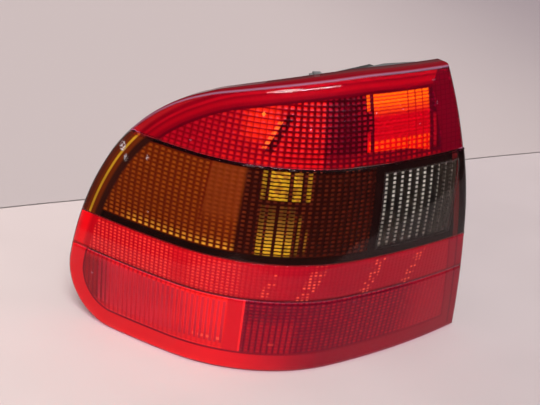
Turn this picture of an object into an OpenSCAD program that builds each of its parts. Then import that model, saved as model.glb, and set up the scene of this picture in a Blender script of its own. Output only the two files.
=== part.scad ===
/* [Lens outline] */
// Length of the straight bottom edge, along the curved lens
bottom_run = 312.1; // [297:1:327]
// Radius of the lower outboard corner
corner_r = 41.9; // [38:0.5:46]
// Turn of the lower outboard corner, degrees
corner_turn = 99.2; // [94:0.2:102]
// Radius of the outboard end above the corner
end_r = 295.6; // [260:5:340]
// Turn of the outboard end, degrees
end_turn = 17.9; // [15:0.2:19.5]
// Radius of the shoulder, where the end turns into the top edge
shoulder_r = 121.5; // [115:0.5:130]
// Turn of the shoulder, degrees
shoulder_turn = 48.4; // [45:0.2:51]
// Radius of the top edge
top_r = 533.5; // [500:1:570]
// Lean of the inboard edge, run per rise
edge_lean = 0.22; // [0.1:0.01:0.3]

/* [Lens curve seen from above] */
// Radius of the part that faces rearwards
rear_r = 555; // [480:5:640]
// Length of the part that faces rearwards
rear_run = 105; // [95:1:115]
// Radius of the bend round the corner of the body
bend_r = 123.5; // [115:0.5:132]
// Length of the bend
bend_run = 128; // [120:1:136]
// Radius of the part along the side of the body
side_r = 630; // [540:10:720]
// Heading of the lens at its inboard end, degrees
start_heading = 3.4; // [0:0.2:6]
// Radius of the upright curve of the upper half
upper_bow_r = 291; // [270:1:320]
// Radius of the upright curve of the lower half
lower_bow_r = 976; // [800:4:1200]
// Height at which the lens stands furthest out
bow_z = 98; // [90:1:106]

/* [Lens sections] */
// Height of the joint between the upper red and the amber section
joint_upper_z = 152.4; // [148:0.2:156]
// Height of the joint between the amber and the lower red section
joint_lower_z = 84; // [80:0.5:88]
// Height of the groove in the lower red section
groove_z = 54.8; // [50:0.2:60]
// Depth of that groove
groove_depth = 1.3; // [0.8:0.1:1.6]
// How far the upper section is set back behind the amber one
upper_set_back = 0.9; // [0.4:0.1:1.4]
// Thickness of the moulded lens
lens_wall = 2.6; // [2.2:0.1:3.2]
// Radius of the rounded outer edge
edge_r = 5.5; // [4.5:0.1:6.5]
// Depth of the rim that turns back to the housing
rim_depth = 14; // [12:0.5:16]
// Depth of the ribs along the joints
joint_depth = 6; // [5:0.5:7]
// Thickness of the ribs along the joints
joint_rib = 1.4; // [1.2:0.1:1.8]
// Inboard end of the reversing window, along the lens
window_in = 12; // [9:1:15]
// Outboard end of the reversing window, along the lens
window_out = 86; // [80:1:92]
// Bottom of the reversing window
window_low = 90; // [89:0.5:95]
// Top of the reversing window
window_high = 146.5; // [140:0.5:147]
// Inboard end of the reflex panel, along the lens
reflex_in = 192; // [188:1:200]
// Outboard end of the reflex panel, along the lens
reflex_out = 296; // [280:1:300]
// Bottom of the reflex panel
reflex_low = 17; // [16:0.5:20]
// Top of the reflex panel
reflex_high = 51; // [48:0.5:52]
// Thickness of the reflex panel
reflex_t = 3; // [2.4:0.1:3.6]

/* [Housing] */
// Distance of the flat back from the inboard end of the lens
back_y = 86; // [85:0.5:88]
// Depth of the shallow part along the side of the body
wing_depth = 26; // [24:0.5:30]
// Thickness of the housing
wall = 2.2; // [2:0.1:2.6]
// Step from the lens rim in to the outer face of the housing
flange_step = 1.2; // [0.9:0.1:1.5]
// Draft of the housing walls over their depth
draft = 2.4; // [1.5:0.1:3]
// Fall of the housing's roof from the lens to the flat back
roof_fall = 15.7; // [15:0.1:16.5]
// Distance of the studs from the edges of the bulb carrier
stud_clear = 9; // [8.5:0.5:10]
// Distance of the four studs up
stud_dz = 112; // [108:1:114]
// Height of the middle of the studs
stud_z = 88; // [86:1:89]
// Diameter of the thread of a stud
stud_d = 6; // [6:0.5:8]
// Length of a stud beyond its boss
stud_reach = 20; // [16:1:24]

/* [Bulbs and their carrier] */
// Height of the middle of the stop and tail bulbs
stop_z = 170; // [169.5:0.5:170.5]
// Height of the middle of the indicator and reversing bulbs
middle_bulb_z = 118; // [114:1:122]
// Height of the middle of the fog bulb
fog_z = 48; // [46:1:50]
// Reach of the carrier plate beyond the middles of the outer bulbs
carrier_margin = 16.5; // [16:0.1:17]
// Thickness of the carrier plate
carrier_t = 2.5; // [2.2:0.1:3]
// Thickness of the seal under the carrier
seal_t = 1; // [0.8:0.1:1.4]
// Thickness of the stamped contact strips
strip_t = 0.8; // [0.6:0.1:1]
// Diameter of a bulb
bulb_d = 26.5; // [25:0.5:27]
// Diameter of a bulb cap
cap_d = 15; // [14.8:0.1:15.2]
// Length of a bulb cap with its end contact
cap_l = 15; // [14:0.5:16]
// Focal length of the reflector bowls
focal = 20; // [18:0.5:22]
// Thickness of the reflector mouldings
shell_t = 2; // [1.6:0.1:2.2]

/* [Hidden] */

// Colours
red = [0.72, 0.05, 0.07, 0.85];
amber = [0.42, 0.16, 0.04, 0.85];
smoke = [0.20, 0.18, 0.17, 0.80];
grey = "dimgray";
metal = "gainsboro";
brass = [0.78, 0.62, 0.28];
glass_tint = [0.9, 0.93, 0.95, 0.5];

// Lens outline, unrolled: s runs along the lens from its inboard end, z is the height
turns = [0, corner_turn, corner_turn + end_turn, corner_turn + end_turn + shoulder_turn, 180];
radii = [corner_r, end_r, shoulder_r, top_r];
edge_s = -29.3;
bottom_z = -4.4;
function along(h) = [sin(h), -cos(h)];
corner_c = [edge_s + bottom_run, bottom_z + corner_r];
end_c = corner_c + (corner_r - end_r) * along(turns[1]);
shoulder_c = end_c + (end_r - shoulder_r) * along(turns[2]);
top_c = shoulder_c + (shoulder_r - top_r) * along(turns[3]);
centres = [corner_c, end_c, shoulder_c, top_c];
top_z = top_c.y + top_r;

// Point of the outline at heading h, moved in by d
function arc_of(h) = h < turns[1] ? 0 : h < turns[2] ? 1 : h < turns[3] ? 2 : 3;
function outline(h, d) = let(i = arc_of(h)) centres[i] + (radii[i] - d) * along(h);
function high_end(i, d) = centres[i].y - (radii[i] - d) * cos(turns[i + 1]);
function arc_at(z, d) = z < high_end(0, d) ? 0 : z < high_end(1, d) ? 1 : z < high_end(2, d) ? 2 : 3;
function heading_at(z, d) = let(i = arc_at(z, d)) acos(min(1, max(-1, (centres[i].y - z) / (radii[i] - d))));
function outboard(z, d) = let(i = arc_at(z, d)) centres[i].x + (radii[i] - d) * sin(heading_at(z, d));
lean_factor = sqrt(1 + edge_lean * edge_lean);
function inboard(z, d) = edge_s + edge_lean * z + d * lean_factor;

// Lens curve seen from above
per_mm = 180 / PI;
bend_start = start_heading + rear_run / rear_r * per_mm;
side_start = bend_start + bend_run / bend_r * per_mm;
function heading(s) =
  s < rear_run ? start_heading + s / rear_r * per_mm :
  s < rear_run + bend_run ? bend_start + (s - rear_run) / bend_r * per_mm :
  side_start + (s - rear_run - bend_run) / side_r * per_mm;
function arc_step(p, r, a, b) = [p.x - r * (sin(b) - sin(a)), p.y - r * (cos(b) - cos(a))];
bend_p = arc_step([0, 0], rear_r, start_heading, bend_start);
side_p = arc_step(bend_p, bend_r, bend_start, side_start);
function plan(s) = let(h = heading(s))
  s < rear_run ? arc_step([0, 0], rear_r, start_heading, h) :
  s < rear_run + bend_run ? arc_step(bend_p, bend_r, bend_start, h) :
  arc_step(side_p, side_r, side_start, h);
function bow(z) = let(r = z > bow_z ? upper_bow_r : lower_bow_r) r - sqrt(r * r - (z - bow_z) * (z - bow_z));
function inward(s) = [sin(heading(s)), cos(heading(s))];

// Depths above from_back are measured from the back of the housing, and the others from the lens face
from_back = 1000;
function back_reach(s, lift, k) =
  max(wing_depth + lift - k, (back_y - k - plan(s).y) / cos(heading(s)));
function reach(s, z, depth) =
  depth < from_back ? bow(z) + depth : back_reach(s, bow(z), depth - from_back);
function skin(s, z, depth) = let(p = plan(s) + inward(s) * reach(s, z, depth)) [p.x, p.y, z];

// A row of a sheet is [0, height] or [1, heading on the outline]
function row_height(row, d) = row[0] == 1 ? outline(row[1], d).y : row[1];
// Added inset of the upper rows at the back of the housing: full inboard, less along the side of the body
function ramp(x, x0, x1) = min(1, max(0, (x - x0) / (x1 - x0)));
fall_start = 126;
fall_full = 150;
side_share = 0.34;
share_start = 60;
share_full = 180;
function fall_at(row, u, fall) =
  let(s0 = inboard(row_height(row, 0), 0), s = s0 + (outline(row[1], 0).x - s0) * u,
      share = 1 - (1 - side_share) * ramp(s, share_start, share_full))
  row[0] == 0 ? 0 : fall * ramp(row[1], fall_start, fall_full) * share;
function is_edge(row) = row[0] == 1 && (row[1] == 0 || row[1] == 180);
function row_point(rows, k, u, inset, dj, ends, fall = 0) =
  let(last = len(rows) - 1, shift = is_edge(rows[k]) ? 0 : k == 0 ? dj : k == last ? -dj : 0,
      d = inset + fall_at(rows[k], u, fall),
      z = row_height(rows[k], d) + shift,
      a = is_undef(ends) ? inboard(z, inset) : ends[0] + dj,
      b = !is_undef(ends) ? ends[1] - dj : rows[k][0] == 1 ? outline(rows[k][1], d).x : outboard(z, d))
  [a + (b - a) * u, z];
function on_joint(rows, k, u) =
  (k == 0 || k == len(rows) - 1) && !is_edge(rows[k]) && u > 0 && u < 1;

// Order of the points round a sheet: inboard side up, top row out, outboard side down, bottom row in
function rim_size(nr, nc) = 2 * (nr + nc) - 4;
function rim_row(i, nr, nc) =
  i < nr ? i : i < nr + nc - 1 ? nr - 1 : i < 2 * nr + nc - 2 ? 2 * nr + nc - 3 - i : 0;
function rim_col(i, nr, nc) =
  i < nr ? 0 : i < nr + nc - 1 ? i - nr + 1 : i < 2 * nr + nc - 2 ? nc - 1 : rim_size(nr, nc) - i;

// A moulded sheet on the lens curve: a face, loops that turn round its edge, and a second face.
// A loop is [inset at the edges, inset at the joints, depth at the edges, depth at the joints]
module sheet(rows, nc, face, loops, inner, ends = undef, groove = 0, fall = 0) {
  nr = len(rows);
  size = nr * nc;
  rim = rim_size(nr, nc);
  loop_n = len(loops);
  second = size + loop_n * rim;
  dips = [for (k = [0:nr - 1]) rows[k][0] == 0 && abs(rows[k][1] - groove_z) < 0.5 ? groove : 0];
  points = concat(
    [for (k = [0:nr - 1], c = [0:nc - 1]) let(q = row_point(rows, k, c / (nc - 1), face[0], face[1], ends, fall))
      skin(q.x, q.y, face[2] + dips[k])],
    [for (l = loops, i = [0:rim - 1])
      let(k = rim_row(i, nr, nc), u = rim_col(i, nr, nc) / (nc - 1),
          q = row_point(rows, k, u, l[0], l[1], ends, l[2] < from_back ? 0 : fall))
      skin(q.x, q.y, on_joint(rows, k, u) || !is_undef(ends) ? l[3] : l[2])],
    [for (k = [0:nr - 1], c = [0:nc - 1]) let(q = row_point(rows, k, c / (nc - 1), inner[0], inner[1], ends, fall))
      skin(q.x, q.y, inner[2])]);
  function at(l, i) = let(j = i % rim, cell = rim_row(j, nr, nc) * nc + rim_col(j, nr, nc))
    l == 0 ? cell : l > loop_n ? second + cell : size + (l - 1) * rim + j;
  faces = concat(
    [for (k = [0:nr - 2], c = [0:nc - 2]) let(a = k * nc + c) each [[a, a + 1, a + nc], [a + 1, a + nc + 1, a + nc]]],
    [for (l = [0:loop_n], i = [0:rim - 1])
      each [[at(l, i), at(l, i + 1), at(l + 1, i)], [at(l, i + 1), at(l + 1, i + 1), at(l + 1, i)]]],
    [for (k = [0:nr - 2], c = [0:nc - 2]) let(a = second + k * nc + c)
      each [[a, a + nc, a + 1], [a + 1, a + nc, a + nc + 1]]]);
  polyhedron(points, faces);
}

// Loops round the edge of a lens section whose face lies at depth base
function edge_loops(base) = [
  [edge_r * 0.55, 0.35, base + edge_r * 0.11, base],
  [edge_r * 0.2, 0.1, base + edge_r * 0.4, base + 0.25],
  [0, 0, base + edge_r, base + 0.7],
  [0, 0, rim_depth, joint_depth],
  [lens_wall, joint_rib, rim_depth, joint_depth],
  [lens_wall, joint_rib, base + edge_r, base + lens_wall + 0.6]];
lens_cols = 25;
function spread(a, b, n) = [for (i = [0:n]) a + (b - a) * i / n];
headings_upper = [for (h = spread(heading_at(joint_upper_z, 0) + 8, turns[3], 4)) [1, h]];
headings_top = [for (h = spread(turns[3], 180, 7)) [1, h]];
headings_corner = [for (h = spread(0, 76, 5)) [1, h]];
rows_upper = concat([[0, joint_upper_z]], headings_upper, [for (i = [1:7]) headings_top[i]]);
rows_amber = [for (z = spread(joint_lower_z, joint_upper_z, 4)) [0, z]];
rows_lower = concat(headings_corner,
  [for (z = [corner_r + 8, groove_z - 1.1, groove_z - 0.4, groove_z + 0.4, groove_z + 1.1, 68, joint_lower_z]) [0, z]]);

module lens_section(rows, base, groove = 0) {
  sheet(rows, lens_cols, [edge_r, 0.7, base], edge_loops(base), [edge_r, joint_rib, base + lens_wall], groove = groove);
}

// Solid block over a stretch of the lens curve, between two distances from it
module curve_block(s0, s1, front, back, z0, z1, n = 8) {
  side = spread(s0, s1, n);
  translate([0, 0, z0]) linear_extrude(z1 - z0)
    polygon(concat([for (s = side) plan(s) + inward(s) * front],
      [for (i = [n:-1:0]) plan(side[i]) + inward(side[i]) * back]));
}

module lens_upper_red() {
  color(red) lens_section(rows_upper, upper_set_back);
}

module lens_amber() {
  color(amber) difference() {
    lens_section(rows_amber, 0);
    curve_block(window_in, window_out, -3, joint_depth + 4, window_low, window_high);
  }
}

module lens_reverse() {
  rows = [for (z = spread(window_low, window_high, 4)) [0, z]];
  loops = [[0, 0, 0, joint_depth], [0, joint_rib, 0, joint_depth], [0, joint_rib, 0, lens_wall + 0.6]];
  color(smoke) sheet(rows, 9, [0, 0, 0], loops, [0, joint_rib + 0.6, lens_wall], [window_in, window_out]);
}

module lens_lower_red() {
  color(red) lens_section(rows_lower, 0, groove_depth);
}

module reflex_panel() {
  rows = [for (z = spread(reflex_low, reflex_high, 3)) [0, z]];
  front = lens_wall + 0.25;
  loops = [[0, 0, 0, front + reflex_t]];
  color([0.6, 0.03, 0.05, 0.9])
    sheet(rows, 14, [0, 0, front], loops, [0, 0.4, front + reflex_t + 0.4], [reflex_in, reflex_out]);
}

// Housing: a bucket behind the rim of the lens, shallow along the side of the body
rows_housing = concat(headings_corner, [for (z = [corner_r + 8, 68, joint_lower_z]) [0, z]],
  [for (i = [1:4]) rows_amber[i]], headings_upper, [for (i = [1:7]) headings_top[i]]);
back_inset = flange_step + draft;
flange_depth = rim_depth + 0.12;

module housing_shell() {
  sheet(rows_housing, lens_cols, [back_inset + wall, 0, from_back + wall],
    [[flange_step + wall, 0, flange_depth, flange_depth], [flange_step, 0, flange_depth, flange_depth],
      [back_inset, 0, from_back, from_back]],
    [back_inset + wall, 0, from_back], fall = roof_fall);
}

// Shelf across the housing that parts two chambers
shelf_t = 1.6;
shelf_gap = 0.4;
module shelf(z) {
  last = lens_cols - 1;
  side = spread(inboard(z, flange_step + wall / 2), outboard(z, flange_step + wall / 2), last);
  front = [for (i = [0:last]) bow(z) + shelf_gap + (i == 0 || i == last ? rim_depth : joint_depth)];
  translate([0, 0, z - shelf_t / 2]) linear_extrude(shelf_t)
    polygon(concat([for (i = [0:last]) plan(side[i]) + inward(side[i]) * front[i]],
      [for (i = [last:-1:0]) plan(side[i]) + inward(side[i]) * back_reach(side[i], bow(z), wall / 2)]));
}

// Flat back: the land that the seal lies on, the opening of the carrier, and the studs round it
land_low = 13;
land_high = 191.5;
land_left = -142;
land_slant = 18;
module land(y0, y1) {
  through([[land_left, land_low], [right_x(land_low), land_low], [right_x(land_high), land_high],
    [land_left + land_slant, land_high], [land_left, land_high - 16]], y0, y1);
}
left_bulb_x = -106;
right_bulb_x = -54;
carrier_x = (left_bulb_x + right_bulb_x) / 2;
carrier_z = (stop_z + fog_z) / 2;
carrier_w = right_bulb_x - left_bulb_x + 2 * carrier_margin;
carrier_h = stop_z - fog_z + 2 * carrier_margin;
stud_dx = carrier_w + 2 * stud_clear;
opening_lip = 4;
boss_r = 5.5;
boss_h = 6;
shank_r = 3.6;
stud_gap = 0.05;
stud_places = [for (i = [-1, 1], k = [-1, 1]) [carrier_x + i * stud_dx / 2, stud_z + k * stud_dz / 2]];
module upright(x, y, z) {
  translate([x, y, z]) rotate([-90, 0, 0]) children();
}
module slab(x0, x1, y0, y1, z0, z1) {
  translate([x0, y0, z0]) cube([x1 - x0, y1 - y0, z1 - z0]);
}

// Hooks that hold the carrier by its two upright edges
catch_w = 12;
catch_t = 3;
catch_gap = 0.4;
catch_hold = 2;
carrier_back = back_y + seal_t + carrier_t;
module catch_hook() {
  edge = carrier_w / 2 + catch_gap;
  slab(-catch_w / 2, catch_w / 2, back_y - wall / 2, carrier_back + catch_t, edge, edge + catch_t);
  slab(-catch_w / 2, catch_w / 2, carrier_back, carrier_back + catch_t, edge - catch_hold, edge + catch_t);
}

// Small stepped stop on top of the housing that shows above the lens
nib_s = 138.5;
nib_w = 14;
nib_top_w = 8;
nib_t = 4.5;
nib_h = 10;
nib_step = 1.4;
nib_top = top_z - 2.6;
module top_nib() {
  front = bow(nib_top) + rim_depth + 0.3;
  curve_block(nib_s - nib_w / 2, nib_s + nib_w / 2, front, front + nib_t, nib_top - nib_h, nib_top - nib_step, 2);
  curve_block(nib_s - nib_top_w / 2, nib_s + nib_top_w / 2, front, front + nib_t, nib_top - nib_h, nib_top, 2);
}

module housing() {
  half_w = carrier_w / 2 - opening_lip;
  half_h = carrier_h / 2 - opening_lip;
  color(grey) difference() {
    union() {
      difference() {
        housing_shell();
        land(back_y, back_y + 2 * wall);
      }
      land(back_y - wall, back_y);
      shelf(joint_upper_z);
      shelf(joint_lower_z);
      top_nib();
      for (p = stud_places) upright(p.x, back_y - wall / 2, p.y) cylinder(h = boss_h + wall / 2, r = boss_r);
      for (turn = [-90, 90]) translate([carrier_x, 0, carrier_z]) rotate([0, turn, 0]) catch_hook();
    }
    slab(carrier_x - half_w, carrier_x + half_w, back_y - wall - 1, back_y + 1, carrier_z - half_h, joint_lower_z - 3);
    slab(carrier_x - half_w, carrier_x + half_w, back_y - wall - 1, back_y + 1, joint_lower_z + 3, joint_upper_z - 3);
    slab(carrier_x - half_w, carrier_x + half_w, back_y - wall - 1, back_y + 1, joint_upper_z + 3, carrier_z + half_h);
    for (p = stud_places) upright(p.x, back_y - wall - 1, p.y) cylinder(h = boss_h + wall + 2, r = shank_r + stud_gap);
  }
}

// Studs moulded into their bosses, each with a flat head inside the housing and a thicker shank in the boss
head_t = 1.5;
head_r = 4.8;
module mounting_studs() {
  color(metal) for (p = stud_places) {
    upright(p.x, back_y - wall - head_t, p.y) cylinder(h = head_t, r = head_r);
    upright(p.x, back_y - wall - head_t / 2, p.y) cylinder(h = wall + boss_h + head_t / 2, r = shank_r);
    upright(p.x, back_y, p.y) cylinder(h = boss_h + stud_reach, d = stud_d);
  }
}

// Foam seal between the flat back and the body, with holes for the bosses and notches for the hooks
body_seal_t = 4;
module body_seal() {
  clear_edge = 1.2;
  notch = 2.2;
  half_w = carrier_w / 2 + clear_edge;
  half_h = carrier_h / 2 + clear_edge;
  color([0.08, 0.08, 0.08]) difference() {
    land(back_y, back_y + body_seal_t);
    slab(carrier_x - half_w, carrier_x + half_w, back_y - 1, back_y + body_seal_t + 1,
      carrier_z - half_h, carrier_z + half_h);
    for (p = stud_places) upright(p.x, back_y - 1, p.y) cylinder(h = body_seal_t + 2, r = boss_r + 0.3);
    for (k = [-1, 1]) slab(carrier_x + k * half_w - notch, carrier_x + k * half_w + notch, back_y - 1,
      back_y + body_seal_t + 1, carrier_z - catch_w / 2 - 1, carrier_z + catch_w / 2 + 1);
  }
}

// Bulbs: [x, z, diameter of the glass, length of the glass]
small_d = 18;
small_l = 22;
glass_l = 35.5;
stop_at = [right_bulb_x, stop_z, bulb_d, glass_l];
tail_at = [left_bulb_x, stop_z, small_d, small_l];
indicator_at = [left_bulb_x, middle_bulb_z, bulb_d, glass_l];
reverse_at = [right_bulb_x, middle_bulb_z, bulb_d, glass_l];
fog_at = [right_bulb_x, fog_z, bulb_d, glass_l];
bulbs = [stop_at, tail_at, indicator_at, reverse_at, fog_at];
sleeve_t = 0.7;
sleeve_gap = 0.25;
sleeve_r = cap_d / 2 + sleeve_gap;
sleeve_front = carrier_back - cap_l - 0.5;
hole_r = sleeve_r + sleeve_t + 0.1;
ring_r = 12;
pin_r = 1;
pin_y = carrier_back - 9;

// Reflector mouldings: a frame that fits one chamber, and a bowl round each bulb
bowl_y = back_y - 14;
frame_t = 1.6;
bowl_rings = 14;
bowl_reach = 62;
hole_gap = 1.2;
divider_lap = 0.3;
divider_y = bowl_y - 4.5;
function right_x(z) = 1 - inboard(z, 9);
function shift_in(q, d) =
  [[q[0].x + d, q[0].y + d], [q[1].x - d, q[1].y + d], [q[2].x - d, q[2].y - d], [q[3].x + d, q[3].y - d]];
function chamber(x0, x1, z0, z1) =
  [[x0, z0], [is_undef(x1) ? right_x(z0) : x1, z0], [is_undef(x1) ? right_x(z1) : x1, z1], [x0, z1]];
module through(shape, y0, y1) {
  translate([0, y1, 0]) rotate([90, 0, 0]) linear_extrude(y1 - y0) polygon(shape);
}
module bowl(at, hole, reach) {
  function dip(r) = r * r / (4 * focal);
  rs = spread(hole, reach, bowl_rings);
  translate([at[0], bowl_y, at[1]]) rotate([90, 0, 0]) rotate_extrude($fn = 96)
    polygon(concat([for (r = rs) [r, dip(r)]],
      [for (i = [bowl_rings:-1:0]) [rs[i], dip(rs[i]) - shell_t]]));
}
module reflector(shape, places, divide, front_z) {
  front = bow(front_z) + joint_depth + 1.5;
  low = shape[0].y;
  high = shape[2].y;
  deep = back_y - wall;
  color(metal) intersection() {
    curve_block(-12, 190, front, 100, low, high, 20);
    union() {
      difference() {
        through(shape, -5, deep);
        through(shift_in(shape, frame_t), -6, back_y);
      }
      for (i = [0:len(places) - 1]) intersection() {
        through(shift_in(shape, frame_t / 2), -5, deep);
        slab(divide[i] + divider_lap, divide[i + 1] - divider_lap, -5, deep, low, high);
        bowl(places[i], places[i][2] / 2 + hole_gap, bowl_reach);
      }
      if (len(places) > 1) slab(divide[1] - frame_t / 2, divide[1] + frame_t / 2, -5, divider_y,
        low + frame_t * 0.4, high - frame_t * 0.4);
    }
  }
}
chamber_gap = 0.6;
far_left = -150;
far_right = 30;
middle_z0 = joint_lower_z + shelf_t / 2 + chamber_gap;
middle_z1 = joint_upper_z - shelf_t / 2 - chamber_gap;
chamber_left = -142;
upper_left = -124;
upper_top = land_high - 5.5;
module reflector_upper() {
  z0 = joint_upper_z + shelf_t / 2 + chamber_gap;
  shape = [[chamber_left, z0], [right_x(z0), z0], [right_x(upper_top), upper_top], [upper_left, upper_top]];
  reflector(shape, [tail_at, stop_at], [far_left, carrier_x, far_right], upper_top);
}
module reflector_indicator() {
  reflector(chamber(chamber_left, carrier_x - shelf_gap, middle_z0, middle_z1), [indicator_at],
    [far_left, far_right], middle_z1);
}
module reflector_reverse() {
  reflector(chamber(carrier_x + shelf_gap, undef, middle_z0, middle_z1), [reverse_at],
    [far_left, far_right], middle_z1);
}
fog_left = -100;
fog_low = 9;
module reflector_fog() {
  z1 = joint_lower_z - shelf_t / 2 - chamber_gap;
  reflector(chamber(fog_left, undef, fog_low, z1), [fog_at], [far_left, far_right], fog_low);
}

// Carrier plate with the connector shroud on its back
conn_x = -84;
conn_z = 82;
conn_w = 42;
conn_h = 14;
conn_l = 20;
conn_t = 1.6;
tab_pitch = 6;
tab_w = 2.8;
tab_l = 16;
slot_w = tab_w + 0.4;
function tab_x(i) = conn_x + (i - 2.5) * tab_pitch;
module bulb_carrier() {
  color([0.86, 0.85, 0.80]) difference() {
    union() {
      slab(carrier_x - carrier_w / 2, carrier_x + carrier_w / 2, carrier_back - carrier_t, carrier_back,
        carrier_z - carrier_h / 2, carrier_z + carrier_h / 2);
      slab(conn_x - conn_w / 2, conn_x + conn_w / 2, carrier_back - 1, carrier_back + conn_l,
        conn_z - conn_h / 2, conn_z + conn_h / 2);
    }
    slab(conn_x - conn_w / 2 + conn_t, conn_x + conn_w / 2 - conn_t, carrier_back, carrier_back + conn_l + 1,
      conn_z - conn_h / 2 + conn_t, conn_z + conn_h / 2 - conn_t);
    for (i = [0:4]) slab(tab_x(i) - slot_w / 2, tab_x(i) + slot_w / 2, carrier_back, carrier_back + strip_t + 0.2,
      i < 4 ? conn_z : conn_z - conn_h, i < 4 ? conn_z + conn_h : conn_z);
    slab(tab_x(5) - slot_w / 2, tab_x(5) + slot_w / 2, carrier_back - carrier_t - 1, carrier_back + 1,
      conn_z - strip_t, conn_z + strip_t);
    for (b = bulbs) upright(b[0], carrier_back - carrier_t - 1, b[1]) cylinder(h = carrier_t + 2, r = hole_r);
  }
}

module carrier_seal() {
  lip = 1.5;
  half_w = carrier_w / 2;
  half_h = carrier_h / 2;
  color([0.08, 0.08, 0.08]) difference() {
    slab(carrier_x - half_w + 1, carrier_x + half_w - 1, back_y, back_y + seal_t,
      carrier_z - half_h + 1, carrier_z + half_h - 1);
    slab(carrier_x - half_w + opening_lip - lip, carrier_x + half_w - opening_lip + lip, back_y - 1,
      back_y + seal_t + 1, carrier_z - half_h + opening_lip - lip, carrier_z + half_h - opening_lip + lip);
  }
}

// Contact strips: a tab in the connector, an upright run, a run across and a pad behind the bulb
strip_w = 4;
pad_r = 5;
module feed(i, b) {
  x = tab_x(i);
  y = carrier_back;
  z0 = min(conn_z - strip_t / 2, b[1] - strip_w / 2);
  z1 = max(conn_z + strip_t / 2, b[1] + strip_w / 2);
  color(brass) union() {
    slab(x - tab_w / 2, x + tab_w / 2, y, y + strip_t, z0, z1);
    slab(x - tab_w / 2, x + tab_w / 2, y, y + tab_l, conn_z - strip_t / 2, conn_z + strip_t / 2);
    slab(min(x - tab_w / 2, b[0]), max(x + tab_w / 2, b[0]), y, y + strip_t,
      b[1] - strip_w / 2, b[1] + strip_w / 2);
    upright(b[0], y, b[1]) cylinder(h = strip_t, r = pad_r);
  }
}
module indicator_strip() {
  feed(0, indicator_at);
}
module tail_strip() {
  feed(1, tail_at);
}
module stop_strip() {
  feed(2, stop_at);
}
module reverse_strip() {
  feed(3, reverse_at);
}
module fog_strip() {
  feed(4, fog_at);
}
trunk_x = -80;
trunk_w = 5;
module ground_strip() {
  y1 = carrier_back - carrier_t;
  x5 = tab_x(5);
  color(brass) difference() {
    union() {
      slab(trunk_x - trunk_w / 2, trunk_x + trunk_w / 2, y1 - strip_t, y1, fog_at[1], stop_at[1]);
      for (b = bulbs) {
        upright(b[0], y1 - strip_t, b[1]) cylinder(h = strip_t, r = ring_r);
        slab(min(trunk_x, b[0]), max(trunk_x, b[0]), y1 - strip_t, y1, b[1] - strip_w / 2, b[1] + strip_w / 2);
      }
      slab(trunk_x, x5 + tab_w / 2, y1 - strip_t, y1, conn_z - strip_w / 2, conn_z + strip_w / 2);
      slab(x5 - tab_w / 2, x5 + tab_w / 2, y1 - strip_t, carrier_back + tab_l,
        conn_z - strip_t / 2, conn_z + strip_t / 2);
    }
    for (b = bulbs) upright(b[0], y1 - strip_t - 1, b[1]) cylinder(h = strip_t + 2, r = hole_r);
  }
}

// Bayonet sleeve that holds a cap, with a flange on the ground strip
module sleeve(b) {
  y1 = carrier_back - 0.8;
  flange_y = carrier_back - carrier_t - 2 * strip_t;
  slot = pin_r + 0.1;
  color(metal) difference() {
    union() {
      upright(b[0], sleeve_front, b[1]) cylinder(h = y1 - sleeve_front, r = sleeve_r + sleeve_t);
      upright(b[0], flange_y, b[1]) cylinder(h = strip_t, r = ring_r - 1);
    }
    upright(b[0], sleeve_front - 1, b[1]) cylinder(h = cap_l + 4, r = sleeve_r);
    slab(b[0] - ring_r, b[0] + ring_r, sleeve_front - 1, pin_y + slot, b[1] - slot, b[1] + slot);
  }
}
button_r = 3.5;
button_h = 1.3;
pin_out = 0.8;
module bulb_cap(b) {
  color(brass) union() {
    upright(b[0], carrier_back - cap_l, b[1]) cylinder(h = cap_l - button_h, d = cap_d);
    upright(b[0], carrier_back - button_h - 0.2, b[1]) cylinder(h = button_h + 0.2, r = button_r);
    translate([b[0], pin_y, b[1]]) rotate([0, 90, 0]) cylinder(h = cap_d + 2 * pin_out, r = pin_r, center = true);
  }
}
glass_t = 0.8;
neck_r = 6.5;
module bulb_glass(b) {
  r = b[2] / 2;
  front = carrier_back - cap_l;
  ball_y = front - b[3] + r;
  color(glass_tint) difference() {
    union() {
      translate([b[0], ball_y, b[1]]) sphere(r = r, $fn = 48);
      upright(b[0], ball_y, b[1]) cylinder(h = front - ball_y, r = neck_r);
    }
    translate([b[0], ball_y, b[1]]) sphere(r = r - glass_t, $fn = 48);
    upright(b[0], ball_y, b[1]) cylinder(h = front - ball_y - 2, r = neck_r - glass_t);
  }
}
module stop_sleeve() {
  sleeve(stop_at);
}
module tail_sleeve() {
  sleeve(tail_at);
}
module indicator_sleeve() {
  sleeve(indicator_at);
}
module reverse_sleeve() {
  sleeve(reverse_at);
}
module fog_sleeve() {
  sleeve(fog_at);
}
module stop_bulb_cap() {
  bulb_cap(stop_at);
}
module tail_bulb_cap() {
  bulb_cap(tail_at);
}
module indicator_bulb_cap() {
  bulb_cap(indicator_at);
}
module reverse_bulb_cap() {
  bulb_cap(reverse_at);
}
module fog_bulb_cap() {
  bulb_cap(fog_at);
}
module stop_bulb_glass() {
  bulb_glass(stop_at);
}
module tail_bulb_glass() {
  bulb_glass(tail_at);
}
module indicator_bulb_glass() {
  bulb_glass(indicator_at);
}
module reverse_bulb_glass() {
  bulb_glass(reverse_at);
}
module fog_bulb_glass() {
  bulb_glass(fog_at);
}

// The origin lies under the middle of the lamp
middle_x = 89.3;
middle_y = -95.7;
module place() {
  translate([middle_x, middle_y, -bottom_z]) children();
}

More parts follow.
